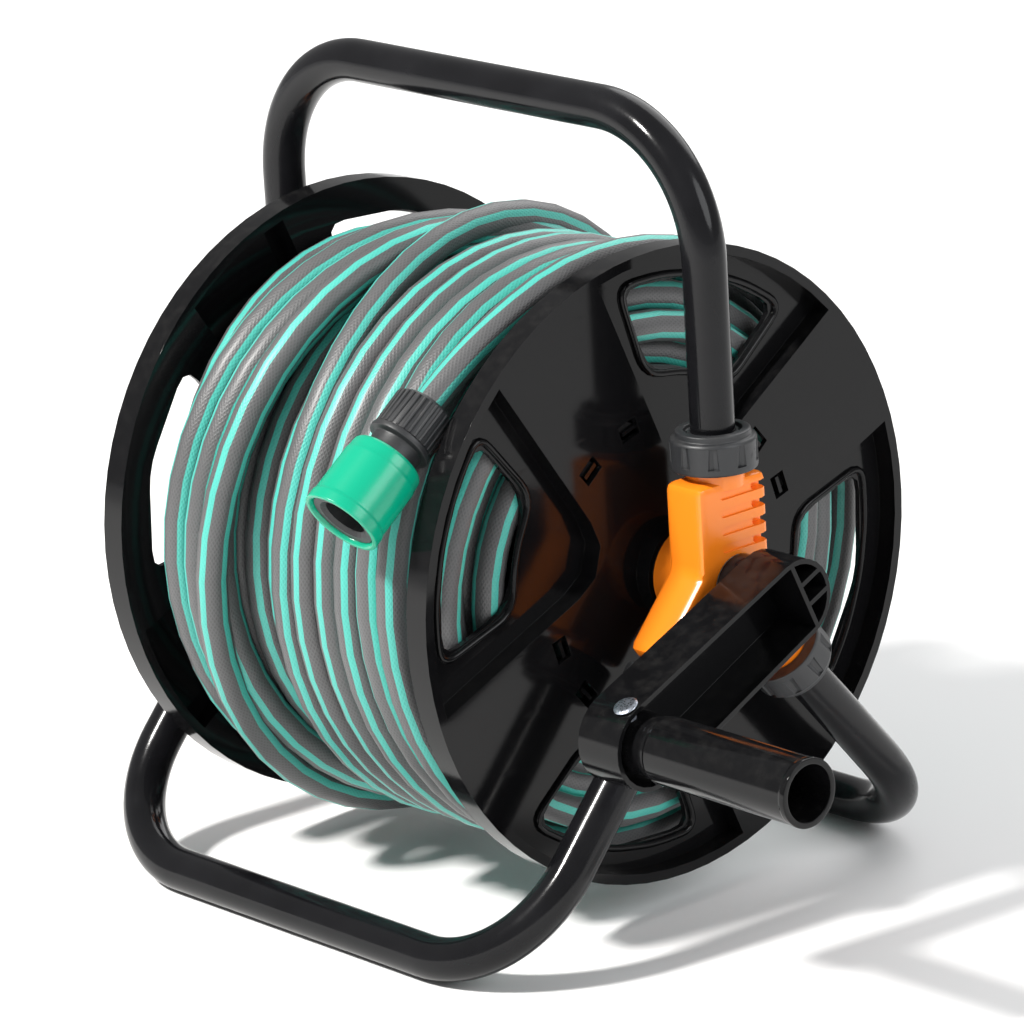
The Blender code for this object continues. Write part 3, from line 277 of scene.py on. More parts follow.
FINISHES = {                  # group, its values, and the shader's own constant values
    "gloss_black_plastic": (moulded_group, {
        "Colour": "black", "Roughness": 0.1, "Grain size": 1800.0, "Grain depth": 0.02,
        "Scuffs": 0.1, "Dust": 0.02}, {"Specular IOR Level": 0.18}),
    "matt_black_plastic": (moulded_group, {
        "Colour": (0.02, 0.021, 0.023, 1), "Roughness": 0.42, "Grain size": 3200.0,
        "Grain depth": 0.12, "Scuffs": 0.2, "Dust": 0.06}, {"Specular IOR Level": 0.45}),
    "orange_plastic": (moulded_group, {
        "Colour": "orange", "Roughness": 0.38, "Grain size": 2600.0, "Grain depth": 0.06,
        "Scuffs": 0.15, "Dust": 0.02}, {"Subsurface Weight": 0.1, "Specular IOR Level": 0.4}),
    "green_plastic": (moulded_group, {
        "Colour": "green", "Roughness": 0.26, "Grain size": 2600.0, "Grain depth": 0.05,
        "Scuffs": 0.2, "Dust": 0.02}, {"Subsurface Weight": 0.06}),
    "natural_plastic": (moulded_group, {
        "Colour": (0.55, 0.55, 0.52, 1), "Roughness": 0.4, "Grain size": 2600.0,
        "Grain depth": 0.06, "Scuffs": 0.1, "Dust": 0.02}, {"Subsurface Weight": 0.1}),
    "seal_rubber": (moulded_group, {
        "Colour": (0.015, 0.015, 0.015, 1), "Roughness": 0.6, "Grain size": 4000.0,
        "Grain depth": 0.1, "Scuffs": 0.1, "Dust": 0.1}, {}),
    "gloss_black_paint": (sprayed_group, {"Colour": "paint"}, {
        "Specular IOR Level": 0.15, "Coat Weight": 0.13, "Coat Roughness": 0.06}),
    "zinc_plate": (plated_group, {}, {"Metallic": 1.0}),
    "braided_hose": (braided_group, {"Grey": "hose", "Stripe": "stripe"}, {
        "Specular IOR Level": 0.5, "Coat Weight": 0.2, "Coat Roughness": 0.3}),
}


def finish(name):
    """The finish's material, made when a piece first asks for it."""
    if name in bpy.data.materials:
        return bpy.data.materials[name]
    group, values, constants = FINISHES[name]
    settings = bpy.context.scene.hose_reel_colours
    material = bpy.data.materials.new(name)
    material.use_nodes = True
    tree = material.node_tree
    label = group.__name__.replace("_group", " finish").capitalize()
    if label not in bpy.data.node_groups:
        group().name = label
    use = node(tree, "ShaderNodeGroup", -300, 0, node_tree=bpy.data.node_groups[label])
    for socket, value in values.items():
        if isinstance(value, str):
            value = (*getattr(settings, value), 1)
        use.inputs[socket].default_value = value
    surface = tree.nodes["Principled BSDF"]
    for socket, value in constants.items():
        surface.inputs[socket].default_value = value
    surface.inputs["Subsurface Radius"].default_value = (0.004, 0.002, 0.001)
    for result, socket in (("Colour", "Base Color"), ("Roughness", "Roughness"), ("Normal", "Normal")):
        tree.links.new(use.outputs[result], surface.inputs[socket])
    return material


# ---------------------------------------------------------------- mesh helpers

def polar(radius, angle):
    """The side view's (y, z) at a radius and an angle from the rear."""
    return radius * math.cos(angle), radius * math.sin(angle)


def rounded(points, radius, steps=3):
    """The closed outline with its corners rounded."""
    outline = []
    for index, corner in enumerate(points):
        here = Vector(corner)
        before, after = Vector(points[index - 1]), Vector(points[(index + 1) % len(points)])
        reach = min(radius, 0.45 * (before - here).length, 0.45 * (after - here).length)
        first = here + (before - here).normalized() * reach
        last = here + (after - here).normalized() * reach
        for step in range(steps + 1):
            t = step / steps
            outline.append(tuple(first * (1 - t) ** 2 + here * 2 * t * (1 - t) + last * t ** 2))
    return outline


def linked(name, data):
    """A new object in the scene."""
    obj = bpy.data.objects.new(name, data)
    bpy.context.scene.collection.objects.link(obj)
    return obj


def applied(obj, name):
    """A plain object at the origin from the evaluated one, which is removed with its cutters."""
    bpy.context.view_layer.update()
    graph = bpy.context.evaluated_depsgraph_get()
    mesh = bpy.data.meshes.new_from_object(obj.evaluated_get(graph))
    mesh.transform(obj.matrix_world)
    helpers = [modifier.object for modifier in obj.modifiers if modifier.type == "BOOLEAN"]
    for old in (obj, *helpers):
        bpy.data.objects.remove(old, do_unlink=True)
    return linked(name, mesh)


def settle(piece, body, material, replaces, sharp=40):
    """Gives a finished piece its finish and shading, and joins it to the frame."""
    piece.data.materials.clear()
    piece.data.materials.append(finish(material))
    if not piece.data.has_custom_normals:
        piece.data.shade_smooth()
        piece.data.set_sharp_from_angle(angle=math.radians(sharp))
    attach(piece, body)
    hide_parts(*replaces)


def refinish(material, *names):
    """Gives CAD nodes whose shape stays their finish."""
    for name in names:
        obj = frame["nodes"][name]
        obj.data.materials.clear()
        obj.data.materials.append(finish(material))


def turned(profile, steps=64):
    """A closed (radius, height) outline turned about Z, as a plain object."""
    area = sum(a[0] * b[1] - b[0] * a[1] for a, b in zip(profile, profile[1:] + profile[:1]))
    if area > 0:
        profile = profile[::-1]
    mesh = bpy.data.meshes.new("turned")
    edges = [(i, (i + 1) % len(profile)) for i in range(len(profile))]
    edges = [(a, b) for a, b in edges if profile[a][0] > 1e-9 or profile[b][0] > 1e-9]
    mesh.from_pydata([(radius, 0, height) for radius, height in profile], edges, [])
    obj = linked("turned", mesh)
    screw = obj.modifiers.new("turn", "SCREW")
    screw.steps = screw.render_steps = steps
    screw.use_merge_vertices = True
    screw.merge_threshold = 1e-5
    return applied(obj, "turned")


def soften(obj, width, segments=2, angle=32, additions=()):
    """Rounds the edges of an object, adds what is moulded on it, and keeps its flat faces flat."""
    bevel = obj.modifiers.new("edges", "BEVEL")
    bevel.width = width
    bevel.segments = segments
    bevel.limit_method = "ANGLE"
    bevel.angle_limit = math.radians(angle)
    for addition in additions:
        union = obj.modifiers.new("moulded_on", "BOOLEAN")
        union.operation = "UNION"
        union.object = addition
    even = obj.modifiers.new("even_shading", "WEIGHTED_NORMAL")
    even.weight = 100
    even.keep_sharp = True


def refined(cad, body, material, width=0.0006, segments=2, angle=32, additions=()):
    """A copy of a hard CAD piece with every moulded edge rounded, and beads or bosses added."""
    mesh = frame["nodes"][cad].data.copy()
    shape = bmesh.new()
    shape.from_mesh(mesh)
    bmesh.ops.remove_doubles(shape, verts=shape.verts, dist=2e-6)
    bmesh.ops.dissolve_limit(
        shape, angle_limit=math.radians(0.6), verts=shape.verts, edges=shape.edges)
    shape.to_mesh(mesh)
    shape.free()
    mesh.shade_smooth()
    obj = linked(cad + "_rounding", mesh)
    soften(obj, width, segments, angle, additions)
    settle(applied(obj, cad + "_shape"), body, material, [cad])


def along(way, start):
    """The transform that takes local Z to the given way, from a point in the drum's frame."""
    way = Vector(way)
    return Matrix.Translation(MIDDLE + Vector(start)) @ way.to_track_quat("Z", "X").to_matrix().to_4x4()


def ring_tree():
    """A ring of tapered ridges round Z, for ribs and finger notches."""
    name = "Ring of ridges"
    if name in bpy.data.node_groups:
        return bpy.data.node_groups[name]
    tree = bpy.data.node_groups.new(name, "GeometryNodeTree")
    tree.interface.new_socket(name="Geometry", in_out="INPUT", socket_type="NodeSocketGeometry")
    for label, kind in (("Count", "Int"), ("Radius", "Float"), ("Low", "Float"), ("High", "Float"),
                        ("Size", "Float"), ("Material", "Material")):
        tree.interface.new_socket(name=label, in_out="INPUT", socket_type="NodeSocket" + kind)
    tree.interface.new_socket(name="Geometry", in_out="OUTPUT", socket_type="NodeSocketGeometry")
    given = node(tree, "NodeGroupInput", -900).outputs
    points = node(tree, "GeometryNodeMeshCircle", -600, 0, {
        "Vertices": given["Count"], "Radius": given["Radius"]})
    depth = calculated(tree, "SUBTRACT", given["High"], given["Low"], x=-700, y=-300)
    thin = calculated(tree, "MULTIPLY", given["Size"], 0.8, x=-700, y=-450)
    ridge = node(tree, "GeometryNodeMeshCone", -400, -300, {
        "Vertices": 10, "Radius Top": thin, "Radius Bottom": given["Size"], "Depth": depth})
    index = node(tree, "GeometryNodeInputIndex", -700, -600)
    portion = calculated(tree, "DIVIDE", index.outputs[0], given["Count"], x=-550, y=-600)
    turn = calculated(tree, "MULTIPLY", portion, math.tau, x=-400, y=-600)
    turned_by = node(tree, "ShaderNodeCombineXYZ", -250, -600, {"Z": turn})
    copies = node(tree, "GeometryNodeInstanceOnPoints", -150, 0, {
        "Points": points.outputs[0], "Instance": ridge.outputs["Mesh"],
        "Rotation": turned_by.outputs[0]})
    lift = node(tree, "ShaderNodeCombineXYZ", -250, -800, {"Z": given["Low"]})
    raised = node(tree, "GeometryNodeSetPosition", 0, 0, {
        "Geometry": copies.outputs[0], "Offset": lift.outputs[0]})
    real = node(tree, "GeometryNodeRealizeInstances", 200, 0, {0: raised.outputs[0]})
    coloured = node(tree, "GeometryNodeSetMaterial", 400, 0, {
        "Geometry": real.outputs[0], "Material": given["Material"]})
    node(tree, "NodeGroupOutput", 600, 0, {0: coloured.outputs[0]})
    return tree


def sweep_tree():
    """A round section swept along a line, with its ends closed."""
    name = "Swept tube"
    if name in bpy.data.node_groups:
        return bpy.data.node_groups[name]
    tree = bpy.data.node_groups.new(name, "GeometryNodeTree")
    tree.interface.new_socket(name="Line", in_out="INPUT", socket_type="NodeSocketGeometry")
    for label, kind in (("Radius", "Float"), ("Sides", "Int"), ("Material", "Material")):
        tree.interface.new_socket(name=label, in_out="INPUT", socket_type="NodeSocket" + kind)
    tree.interface.new_socket(name="Tube", in_out="OUTPUT", socket_type="NodeSocketGeometry")
    given = node(tree, "NodeGroupInput", -600).outputs
    circle = node(tree, "GeometryNodeCurvePrimitiveCircle", -400, -200, {
        "Resolution": given["Sides"], "Radius": given["Radius"]})
    sweep = node(tree, "GeometryNodeCurveToMesh", -200, 0, {
        "Curve": given["Line"], "Profile Curve": circle.outputs["Curve"], "Fill Caps": True})
    real = node(tree, "GeometryNodeRealizeInstances", 0, 0, {0: sweep.outputs[0]})
    coloured = node(tree, "GeometryNodeSetMaterial", 200, 0, {
        "Geometry": real.outputs[0], "Material": given["Material"]})
    node(tree, "NodeGroupOutput", 400, 0, {0: coloured.outputs[0]})
    return tree


def with_tree(obj, tree, **values):
    """Adds the tree as a modifier, with its inputs set by their identifiers."""
    modifier = obj.modifiers.new(tree.name, "NODES")
    modifier.node_group = tree
    for item in tree.interface.items_tree:
        if item.in_out == "INPUT" and item.name in values:
            modifier[item.identifier] = values[item.name]


def ridged(obj, operation, material, **values):
    """Adds or cuts a ring of ridges; the object stays with its Boolean modifier."""
    tool = linked("ridges", bpy.data.meshes.new("ridges"))
    with_tree(tool, ring_tree(), Material=finish(material), **values)
    tool = applied(tool, "ridges")
    boolean = obj.modifiers.new("ridges", "BOOLEAN")
    boolean.operation = operation
    boolean.object = tool


def swept(name, points, radius, sides, material, closed=False):
    """A tube of one finish along straight steps between points, measured from the drum's middle."""
    curve = bpy.data.curves.new(name, "CURVE")
    curve.dimensions = "3D"
    spline = curve.splines.new("POLY")
    spline.points.add(len(points) - 1)
    for point, spot in zip(spline.points, points):
        point.co = (*(MIDDLE + Vector(spot)), 1)
    spline.use_cyclic_u = closed
    line = linked(name, curve)
    with_tree(line, sweep_tree(), Radius=radius, Sides=sides, Material=finish(material))
    return applied(line, name)


def tube_along(name, points, radius, sides, turns):
    """A closed tube through the points, with a UV of turns round it and metres along it.

    turns is the angle at each point from the outward direction at which the UV starts.
    """
    points = np.asarray(points, float)
    count = len(points)
    ahead = np.gradient(points, axis=0)
    ahead /= np.linalg.norm(ahead, axis=1, keepdims=True)
    out = points - np.array(MIDDLE)
    out[:, 0] = 0
    out -= (out * ahead).sum(1, keepdims=True) * ahead
    out /= np.linalg.norm(out, axis=1, keepdims=True)
    side = np.cross(ahead, out)
    angles = np.asarray(turns)[:, None] + math.tau * np.arange(sides)[None] / sides
    rings = points[:, None] + radius * (
        np.cos(angles)[..., None] * out[:, None] + np.sin(angles)[..., None] * side[:, None])
    rows, spots = np.arange(count - 1)[:, None] * sides, np.arange(sides)[None]
    after = (spots + 1) % sides
    quads = np.stack([rows + spots, rows + after, rows + sides + after, rows + sides + spots], -1)
    faces = quads.reshape(-1, 4).tolist()
    faces += [list(range(sides))[::-1], [(count - 1) * sides + i for i in range(sides)]]
    mesh = bpy.data.meshes.new(name)
    mesh.from_pydata(rings.reshape(-1, 3).tolist(), [], faces)
    length = np.concatenate([[0], np.cumsum(np.linalg.norm(np.diff(points, axis=0), axis=1))])
    shape = (count - 1, sides)
    u = np.broadcast_to(spots / sides, shape)
    low, high = np.broadcast_to(length[:-1, None], shape), np.broadcast_to(length[1:, None], shape)
    corners = np.stack([
        np.stack([u, low], -1), np.stack([u + 1 / sides, low], -1),
        np.stack([u + 1 / sides, high], -1), np.stack([u, high], -1)], 2)
    flat = np.zeros((len(mesh.loops), 2))
    flat[:corners.size // 2] = corners.reshape(-1, 2)
    mesh.uv_layers.new(name="along").uv.foreach_set("vector", flat.ravel())
    return linked(name, mesh), length[-1]


# ---------------------------------------------------------------- hose

def hose_knots():
    """(turns since the start, place along the drum, radius) where the winding changes."""
    knots = []
    *full_layers, top = LAYER_R
    for layer, radius in enumerate(full_layers):
        side = -1 if layer % 2 == 0 else 1
        begin, end = LAYER_TURNS * layer, LAYER_TURNS * (layer + 1)
        climbing = 0.25 * (layer > 0)
        knots += [(begin + climbing, side * END_X, radius), (end, -side * END_X, radius)]
    knots += [
        (48.35, -0.074, top), (51.95, -0.0185, top), (52.1, -0.028, OVER_R), (52.3, -0.05, OVER_R),
        (52.5, -0.064, OVER_R), (52.7, -0.052, OVER_R), (52.95, -0.023, OVER_R), (53.12, -0.001, top),
        (53.4, 0.003, top), (58.3, 0.08, top), (58.72, 0.0885, TAIL_R), (58.828, TAIL_X, TAIL_R),
    ]
    return np.array(knots)


def swell(turns, start, end, rise):
    """0 before the start, 1 between, and 0 after the end, with even slopes."""
    return np.clip((turns - start) / rise, 0, 1) * np.clip((end - turns) / 0.5, 0, 1)


def hose_points(per_turn):
    """The hose's route, wound layer on layer, then along inside the rim to the connector."""
    knots = hose_knots()
    turns = np.arange(0, knots[-1, 0], 1 / per_turn)
    window = np.hanning(per_turn // 4 | 1)
    window /= window.sum()
    pad = len(window) // 2
    x, radius = (
        np.convolve(np.pad(np.interp(turns, knots[:, 0], values), pad, mode="edge"), window, "valid")
        for values in (knots[:, 1], knots[:, 2]))
    wander = np.sin(math.tau * turns * 0.93) + 0.7 * np.sin(math.tau * turns * 2.11 + 1.3)
    loose = swell(turns, 48.5, 58.2, 0.5)
    x += loose * 0.0011 * wander
    radius += loose * 0.0006 * np.sin(math.tau * turns * 1.37 + 0.4)
    angle = math.pi / 2 + math.tau * turns
    x -= swell(turns, 48.2, 51.7, 0.3) * SLANT * np.cos(angle - SLANT_ANGLE)
    wound = np.stack([x, radius * np.cos(angle), radius * np.sin(angle)], 1)
    ride = np.linspace(TAIL_FROM, TAIL_TO, per_turn // 3)
    tail = np.stack([np.full_like(ride, TAIL_X), TAIL_R * np.cos(ride), TAIL_R * np.sin(ride)], 1)
    first, last = Vector(tail[-1]), CONNECTOR_AT + CONNECTOR_WAY * 0.0025
    pull = (last - first).length * 0.4
    leaving = first + Vector((0, -math.sin(TAIL_TO), math.cos(TAIL_TO))) * pull
    arriving = last - CONNECTOR_WAY * pull
    free = []
    for t in np.linspace(0, 1, 10)[1:]:
        s = 1 - t
        near, far = leaving * 3 * t * s ** 2, arriving * 3 * t ** 2 * s
        free.append(first * s ** 3 + near + far + last * t ** 3)
    return np.concatenate([wound, tail, np.array(free)]) + np.array(MIDDLE)


def make_hose(sides, per_turn):
    """One hose from the elbow in the core to the connector, wound by rule."""
    points = hose_points(per_turn)
    turns = np.arange(len(points)) / per_turn
    twist = math.tau * (0.11 * turns + 0.06 * np.sin(turns * 1.9) + 0.03 * np.sin(turns * 5.3 + 1))
    hose, length = tube_along("wound_hose", points, HOSE_R, sides, twist)
    settle(hose, "drum", "braided_hose", ["hose_coil", "hose_tail"], sharp=60)


def make_connector():
    """The quick connector: ribbed nut, body and sliding sleeve, along its own line."""
    place = along(CONNECTOR_WAY, CONNECTOR_AT)
    nut = turned(rounded([
        (0.0084, 0), (0.0128, 0), (0.0150, 0.0018), (0.0154, 0.0215), (0.0134, 0.0215),
        (0.0134, 0.003), (0.0084, 0.003)], 0.0006), 90)
    ridged(nut, "UNION", "matt_black_plastic", Count=28, Radius=0.0152, Low=0.0022,
           High=0.0212, Size=0.0010)
    body = turned(rounded([
        (0.0062, 0.004), (0.0131, 0.004), (0.0131, 0.0218), (0.0166, 0.0218), (0.0166, 0.0247),
        (0.0134, 0.0255), (0.0134, 0.036), (0.0154, 0.036), (0.0154, 0.062), (0.0112, 0.062),
        (0.0112, 0.048), (0.0062, 0.048)], 0.0006), 72)
    sleeve = turned(rounded([
        (0.0137, 0.033), (0.0178, 0.033), (0.0189, 0.0345), (0.0193, 0.0395), (0.0197, 0.041),
        (0.0198, 0.066), (0.0204, 0.0675), (0.0204, 0.0725), (0.0199, 0.073), (0.0181, 0.073),
        (0.0171, 0.0712), (0.0171, 0.0615), (0.0157, 0.0605), (0.0157, 0.0355), (0.0137, 0.0355)],
        0.0006), 90)
    soften(sleeve, 0.0004)
    for obj, cad, rides, material, slot in (
        (nut, "connector_nut", "drum", "matt_black_plastic", "collar_plastic"),
        (body, "connector_body", "drum", "matt_black_plastic", "collar_plastic"),
        (sleeve, "connector_sleeve", "sleeve", "green_plastic", "green_plastic"),
    ):
        obj.matrix_world = place
        for modifier in obj.modifiers:
            if modifier.type == "BOOLEAN":
                modifier.object.matrix_world = place
        settle(applied(obj, cad + "_shape"), rides, material, [cad])
    refinish("matt_black_plastic", "connector_lock_ring")
    refinish("seal_rubber", "connector_seal")


# ---------------------------------------------------------------- frame

def make_tube(leg):
    """A U-shaped tube: its route is swept by the tube tree."""
    angle, reach, bend = LEGS[leg]
    way = Vector((0, *polar(1, angle)))
    points = []
    for side in (1, -1):
        half = [way * TUBE_START + Vector((side * LEG_X, 0, 0))]
        for step in range(BEND_STEPS + 1):
            turn = math.pi / 2 * step / BEND_STEPS
            out, in_by = reach - bend * (1 - math.sin(turn)), bend * (1 - math.cos(turn))
            half.append(way * out + Vector((side * (LEG_X - in_by), 0, 0)))
        points += half if side > 0 else half[::-1]
    cad = leg + ("_tube" if leg == "handle" else "_foot_tube")
    tube = swept(cad + "_shape", points, TUBE_R, 32, "gloss_black_paint")
    settle(tube, "frame", "gloss_black_paint", [cad], 60)


def make_collar_nuts():
    """The six collar nuts: a skirt with finger notches, and a lip round the tube."""
    master = turned(rounded([
        (0.0148, 0), (0.0211, 0), (0.0214, 0.0009), (0.0213, 0.0144), (0.0205, 0.0157),
        (0.0186, 0.0162), (0.0184, 0.0190), (0.0170, 0.0194), (0.0142, 0.0194),
        (0.0136, 0.0176), (0.0128, 0.0172), (0.0128, 0.0164), (0.0148, 0.0131)], 0.0006), 90)
    ridged(master, "DIFFERENCE", "matt_black_plastic", Count=NUT_NOTCHES, Radius=0.0232, Low=0.0034,
           High=0.0141, Size=0.0036)
    soften(master, 0.0007, 3)
    master = applied(master, "collar_nut_master")
    for side, label in ((1, "right"), (-1, "left")):
        for leg, (angle, _, _) in LEGS.items():
            way = Vector((0, *polar(1, angle)))
            mesh = master.data.copy()
            turn = Matrix.Rotation(side * NUT_TURN, 4, "Z")
            mesh.transform(along(way, way * NUT_FROM + Vector((side * LEG_X, 0, 0))) @ turn)
            cad = f"{label}_{leg}_collar_nut"
            nut = linked(cad + "_shape", mesh)
            settle(nut, "frame", "matt_black_plastic", [cad])
            refinish("matt_black_plastic", f"{label}_{leg}_clamp_ring")
    bpy.data.objects.remove(master, do_unlink=True)


def make_brackets(rounding):
    """The two hub brackets, and the finish of their bushes."""
    for cad in ("right_bracket", "left_bracket"):
        refined(cad, "frame", "orange_plastic", rounding)
    refinish("natural_plastic", "right_bush", "left_bush")


def make_inlet(rounding):
    """The water inlet on the side away from the crank, with its screws."""
    refined("inlet_nipple", "frame", "gloss_black_plastic", rounding)
    for screw in ("inlet_screw_lower", "inlet_screw_upper"):
        refined(screw, "frame", "zinc_plate", FASTENER_ROUNDING)
    refinish("seal_rubber", "inlet_seal")


# ---------------------------------------------------------------- drum and crank

def window_lip(centre, side):
    """The round bead moulded along a window's edge, on a flange's pocket floor."""
    corners = []
    for (radius, half), turns in ((WINDOW_NEAR, (-1, 0, 1)), (WINDOW_FAR, (1, 0.5, 0, -0.5, -1))):
        corners += [polar(radius, centre + half * turn) for turn in turns]
    outline = [(side * POCKET_X, y, z) for y, z in rounded(corners, WINDOW_CORNER, 5)]
    return swept("window_lip", outline, LIP_R, 12, "gloss_black_plastic", closed=True)


def make_drum(rounding):
    """The two flanges with their window beads, and the finish of what is inside."""
    for cad, side in (("right_flange", 1), ("left_flange", -1)):
        lips = [window_lip(WINDOW_ANGLE + index * math.tau / WINDOWS, side) for index in range(WINDOWS)]
        refined(cad, "drum", "gloss_black_plastic", rounding, 2, 40, lips)
    refinish("gloss_black_plastic", "drum_core", "drum_elbow")


def make_crank(rounding):
    """The crank arm, its lathe-turned hollow grip and its fasteners."""
    refined("crank_arm", "drum", "gloss_black_plastic", rounding)
    root = [(0, -0.0158)] + [polar(0.0158, math.radians(angle)) for angle in range(-84, 25, 6)]
    profile = root + rounded([
        (0.0146, 0.0075), (0.0146, 0.0115), (0.0158, 0.0125), (0.0158, 0.0165), (0.0166, 0.0178),
        (0.0165, 0.108), (0.0168, 0.109), (0.0168, 0.1119), (0.0137, 0.1119), (0.0137, 0.029),
        (0.0125, 0.027)], 0.0005) + [(0, 0.027)]
    grip = turned(profile, 72)
    grip.data.transform(along((1, 0, 0), GRIP_AT))
    grip.name = "crank_grip_shape"
    settle(grip, "grip", "gloss_black_plastic", ["crank_grip"])
    for fastener in ("grip_pin", "crank_screw", "crank_washer"):
        refined(fastener, "drum", "zinc_plate", FASTENER_ROUNDING)


# ---------------------------------------------------------------- studio

def soft_light(name, place, size, power, colour):
    """A round area light aimed at the drum."""
    light = bpy.data.lights.new(name, "AREA")
    light.shape = "DISK"
    light.size = size
    light.energy = power
    light.color = colour
    obj = linked(name, light)
    obj.location = place
    obj.rotation_euler = (MIDDLE - Vector(place)).to_track_quat("-Z", "Y").to_euler()


def make_floor(tone):
    """A pale floor just under the reel, which fades to white far from it."""
    mesh = bpy.data.meshes.new("floor")
    corners = [(x * FLOOR_REACH, y * FLOOR_REACH, 0) for x, y in ((-1, -1), (1, -1), (1, 1), (-1, 1))]
    mesh.from_pydata(corners, [], [(0, 1, 2, 3)])
    floor = linked("floor", mesh)
    floor.location = (0, 0, FLOOR_Z)
    paint = bpy.data.materials.new("pale_floor")
    paint.use_nodes = True
    surface = paint.node_tree.nodes["Principled BSDF"]
    surface.inputs["Base Color"].default_value = (tone, tone, tone, 1)
    surface.inputs["Roughness"].default_value = 0.9
    surface.inputs["Specular IOR Level"].default_value = 0.1
    surface.inputs["Emission Strength"].default_value = 1
    place = node(paint.node_tree, "ShaderNodeTexCoord", -800).outputs["Object"]
    away = node(paint.node_tree, "ShaderNodeVectorMath", -600, 0, {0: place}, operation="LENGTH")
    glow = ranged(paint.node_tree, away.outputs["Value"], *FADE_OUT, 0, 0.62, -400, 0)
    paint.node_tree.links.new(glow, surface.inputs["Emission Color"])
    mesh.materials.append(paint)


def make_sky(strength):
    """An even sky that lights with the given strength and looks white behind the reel."""
    world = bpy.data.worlds.new("studio")
    world.use_nodes = True
    tree = world.node_tree
    sky = tree.nodes["Background"].inputs
    sky["Color"].default_value = (1, 1, 1, 1)
    seen = node(tree, "ShaderNodeLightPath", -600).outputs["Is Camera Ray"]
    shown = calculated(tree, "MULTIPLY_ADD", seen, 1 - strength, strength, x=-300)
    tree.links.new(shown, sky["Strength"])
    bpy.context.scene.world = world


def make_camera():
    view = bpy.data.cameras.new("camera")
    view.lens = LENS
    view.sensor_width = SENSOR
    view.clip_end = 100
    camera = linked("camera", view)
    back = Vector((
        math.sin(VIEW_TURN) * math.cos(VIEW_TILT), -math.cos(VIEW_TURN) * math.cos(VIEW_TILT),
        math.sin(VIEW_TILT)))
    level = Vector((math.cos(VIEW_TURN), math.sin(VIEW_TURN), 0))
    up = back.cross(level)
    right = level * math.cos(VIEW_ROLL) + up * math.sin(VIEW_ROLL)
    up = up * math.cos(VIEW_ROLL) - level * math.sin(VIEW_ROLL)
    turn = Matrix((right, up, back)).transposed().to_4x4()
    camera.matrix_world = Matrix.Translation(MIDDLE + VIEW_FROM) @ turn
    bpy.context.scene.camera = camera


def make_studio(key_power, sky_strength, floor_tone):
    """The floor, the sky, the lights and the camera."""
    make_floor(floor_tone)
    make_sky(sky_strength)
    soft_light("key", (-0.5, -2.2, 2.6), 0.45, key_power, (1.0, 0.98, 0.95))
    soft_light("fill", (2.4, 0.6, 1.5), 1.6, key_power * 0.16, (0.96, 0.98, 1.0))
    soft_light("rim", (-0.8, 2.4, 2.2), 3.0, key_power * 0.3, (1, 1, 1))
    bpy.context.scene.view_settings.view_transform = "Standard"
    make_camera()


# ---------------------------------------------------------------- add-on

def colour_property(name, description, default):
    return bpy.props.FloatVectorProperty(
        name=name, description=description, default=default, min=0, max=1, size=3, subtype="COLOR")


def length_property(name, description, default):
    return bpy.props.FloatProperty(
        name=name, description=description, default=default, min=0, precision=5, subtype="DISTANCE",
        unit="LENGTH")


class HoseReelColours(bpy.types.PropertyGroup):
    hose: colour_property("Hose", "Colour of the hose's outer layer", (0.083, 0.083, 0.085))
    stripe: colour_property("Stripes", "Colour of the stripes along the hose", (0.06, 0.42, 0.355))
    orange: colour_property("Brackets", "Colour of the hub brackets", (0.9, 0.135, 0.004))
    green: colour_property("Connector", "Colour of the connector's sleeve", (0.0, 0.125, 0.064))
    black: colour_property("Drum", "Colour of the drum and crank", (0.0045, 0.0045, 0.005))
    paint: colour_property("Frame", "Colour of the painted tubes", (0.006, 0.006, 0.007))


class HoseReelShape(bpy.types.PropertyGroup):
    hose_sides: bpy.props.IntProperty(
        name="Hose sides", description="Faces round the hose", default=16, min=8, max=32)
    hose_steps: bpy.props.IntProperty(
        name="Hose steps", description="Sections of hose in each turn", default=44, min=16, max=64)
    flange_rounding: length_property("Flange edges", "Rounding of the drum flanges' edges", 0.0011)
    bracket_rounding: length_property("Bracket edges", "Rounding of the brackets' edges", 0.0007)
    crank_rounding: length_property("Crank edges", "Rounding of the crank arm's edges", 0.0006)


class HoseReelStudio(bpy.types.PropertyGroup):
    key_power: bpy.props.FloatProperty(
        name="Key light", description="Power of the main light", default=175, min=0, unit="POWER")
    sky_strength: bpy.props.FloatProperty(
        name="Sky", description="Strength of the even light from all sides", default=0.4, min=0)
    floor_tone: bpy.props.FloatProperty(
        name="Floor", description="Lightness of the floor", default=0.93, min=0, max=1,
        subtype="FACTOR")


class HOSEREEL_OT_hose(bpy.types.Operator):
    """Winds the striped hose on the drum and fits its quick connector"""
    bl_idname = "hose_reel.hose"
    bl_label = "Hose and Connector"

    def execute(self, context):
        make_connector()
        make_hose(context.scene.hose_reel_shape.hose_sides, context.scene.hose_reel_shape.hose_steps)
        return {"FINISHED"}


class HOSEREEL_OT_tubes(bpy.types.Operator):
    """Bends the carry handle and the two foot tubes"""
    bl_idname = "hose_reel.tubes"
    bl_label = "Frame Tubes"

    def execute(self, context):
        for leg in LEGS:
            make_tube(leg)
        return {"FINISHED"}


class HOSEREEL_OT_collar_nuts(bpy.types.Operator):
    """Makes the six collar nuts that hold the tubes in the brackets"""
    bl_idname = "hose_reel.collar_nuts"
    bl_label = "Collar Nuts"

    def execute(self, context):
        make_collar_nuts()
        return {"FINISHED"}


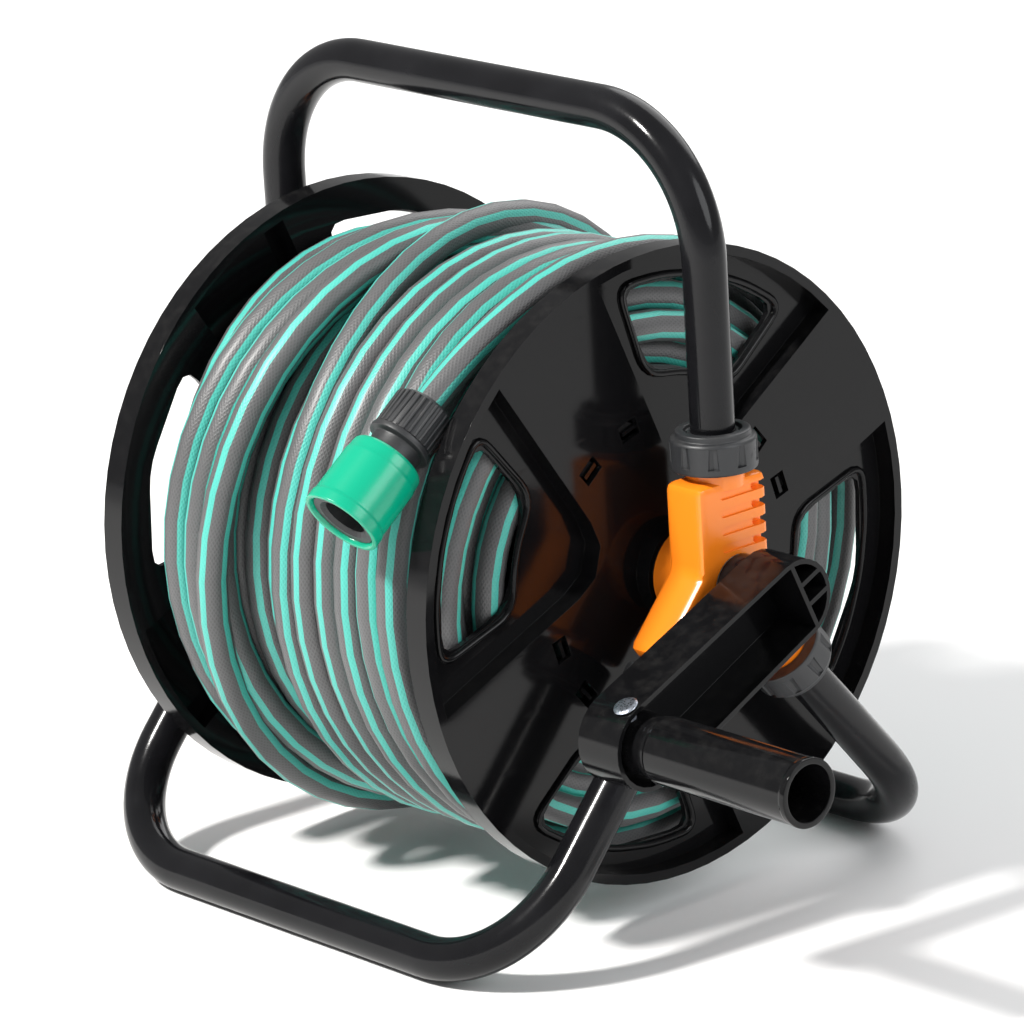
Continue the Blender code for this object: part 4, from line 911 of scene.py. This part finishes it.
class HOSEREEL_OT_brackets(bpy.types.Operator):
    """Makes the two hub brackets and the water inlet"""
    bl_idname = "hose_reel.brackets"
    bl_label = "Brackets and Inlet"

    def execute(self, context):
        make_brackets(context.scene.hose_reel_shape.bracket_rounding)
        make_inlet(context.scene.hose_reel_shape.bracket_rounding / 2)
        return {"FINISHED"}


class HOSEREEL_OT_drum(bpy.types.Operator):
    """Makes the drum's two flanges and its core"""
    bl_idname = "hose_reel.drum"
    bl_label = "Drum"

    def execute(self, context):
        make_drum(context.scene.hose_reel_shape.flange_rounding)
        return {"FINISHED"}


class HOSEREEL_OT_crank(bpy.types.Operator):
    """Makes the crank arm and its folding grip"""
    bl_idname = "hose_reel.crank"
    bl_label = "Crank"

    def execute(self, context):
        make_crank(context.scene.hose_reel_shape.crank_rounding)
        return {"FINISHED"}


class HOSEREEL_OT_studio(bpy.types.Operator):
    """Makes the floor, the lights and the camera"""
    bl_idname = "hose_reel.studio"
    bl_label = "Studio"

    def execute(self, context):
        studio = context.scene.hose_reel_studio
        make_studio(studio.key_power, studio.sky_strength, studio.floor_tone)
        return {"FINISHED"}


class HOSEREEL_PT_panel(bpy.types.Panel):
    """Lists the reel's sizes, colours and operators"""
    bl_label = "Garden Hose Reel"
    bl_idname = "HOSEREEL_PT_panel"
    bl_space_type = "VIEW_3D"
    bl_region_type = "UI"
    bl_category = "Hose Reel"

    def draw(self, context):
        for attribute, group in SETTINGS.items():
            column = self.layout.column(align=True)
            for name in group.__annotations__:
                column.prop(getattr(context.scene, attribute), name)
        for operator in OPERATORS:
            self.layout.operator(operator.bl_idname)


SETTINGS = {
    "hose_reel_colours": HoseReelColours, "hose_reel_shape": HoseReelShape,
    "hose_reel_studio": HoseReelStudio,
}
OPERATORS = (
    HOSEREEL_OT_studio, HOSEREEL_OT_hose, HOSEREEL_OT_tubes, HOSEREEL_OT_collar_nuts,
    HOSEREEL_OT_brackets, HOSEREEL_OT_drum, HOSEREEL_OT_crank,
)


def register():
    for cls in (*SETTINGS.values(), *OPERATORS, HOSEREEL_PT_panel):
        bpy.utils.register_class(cls)
    for attribute, group in SETTINGS.items():
        setattr(bpy.types.Scene, attribute, bpy.props.PointerProperty(type=group))


def unregister():
    for attribute in SETTINGS:
        delattr(bpy.types.Scene, attribute)
    for cls in (HOSEREEL_PT_panel, *OPERATORS[::-1], *SETTINGS.values()):
        bpy.utils.unregister_class(cls)


def main():
    register()
    for operator in OPERATORS:
        getattr(bpy.ops.hose_reel, operator.bl_idname.split(".")[1])()


if __name__ == "__main__":
    main()
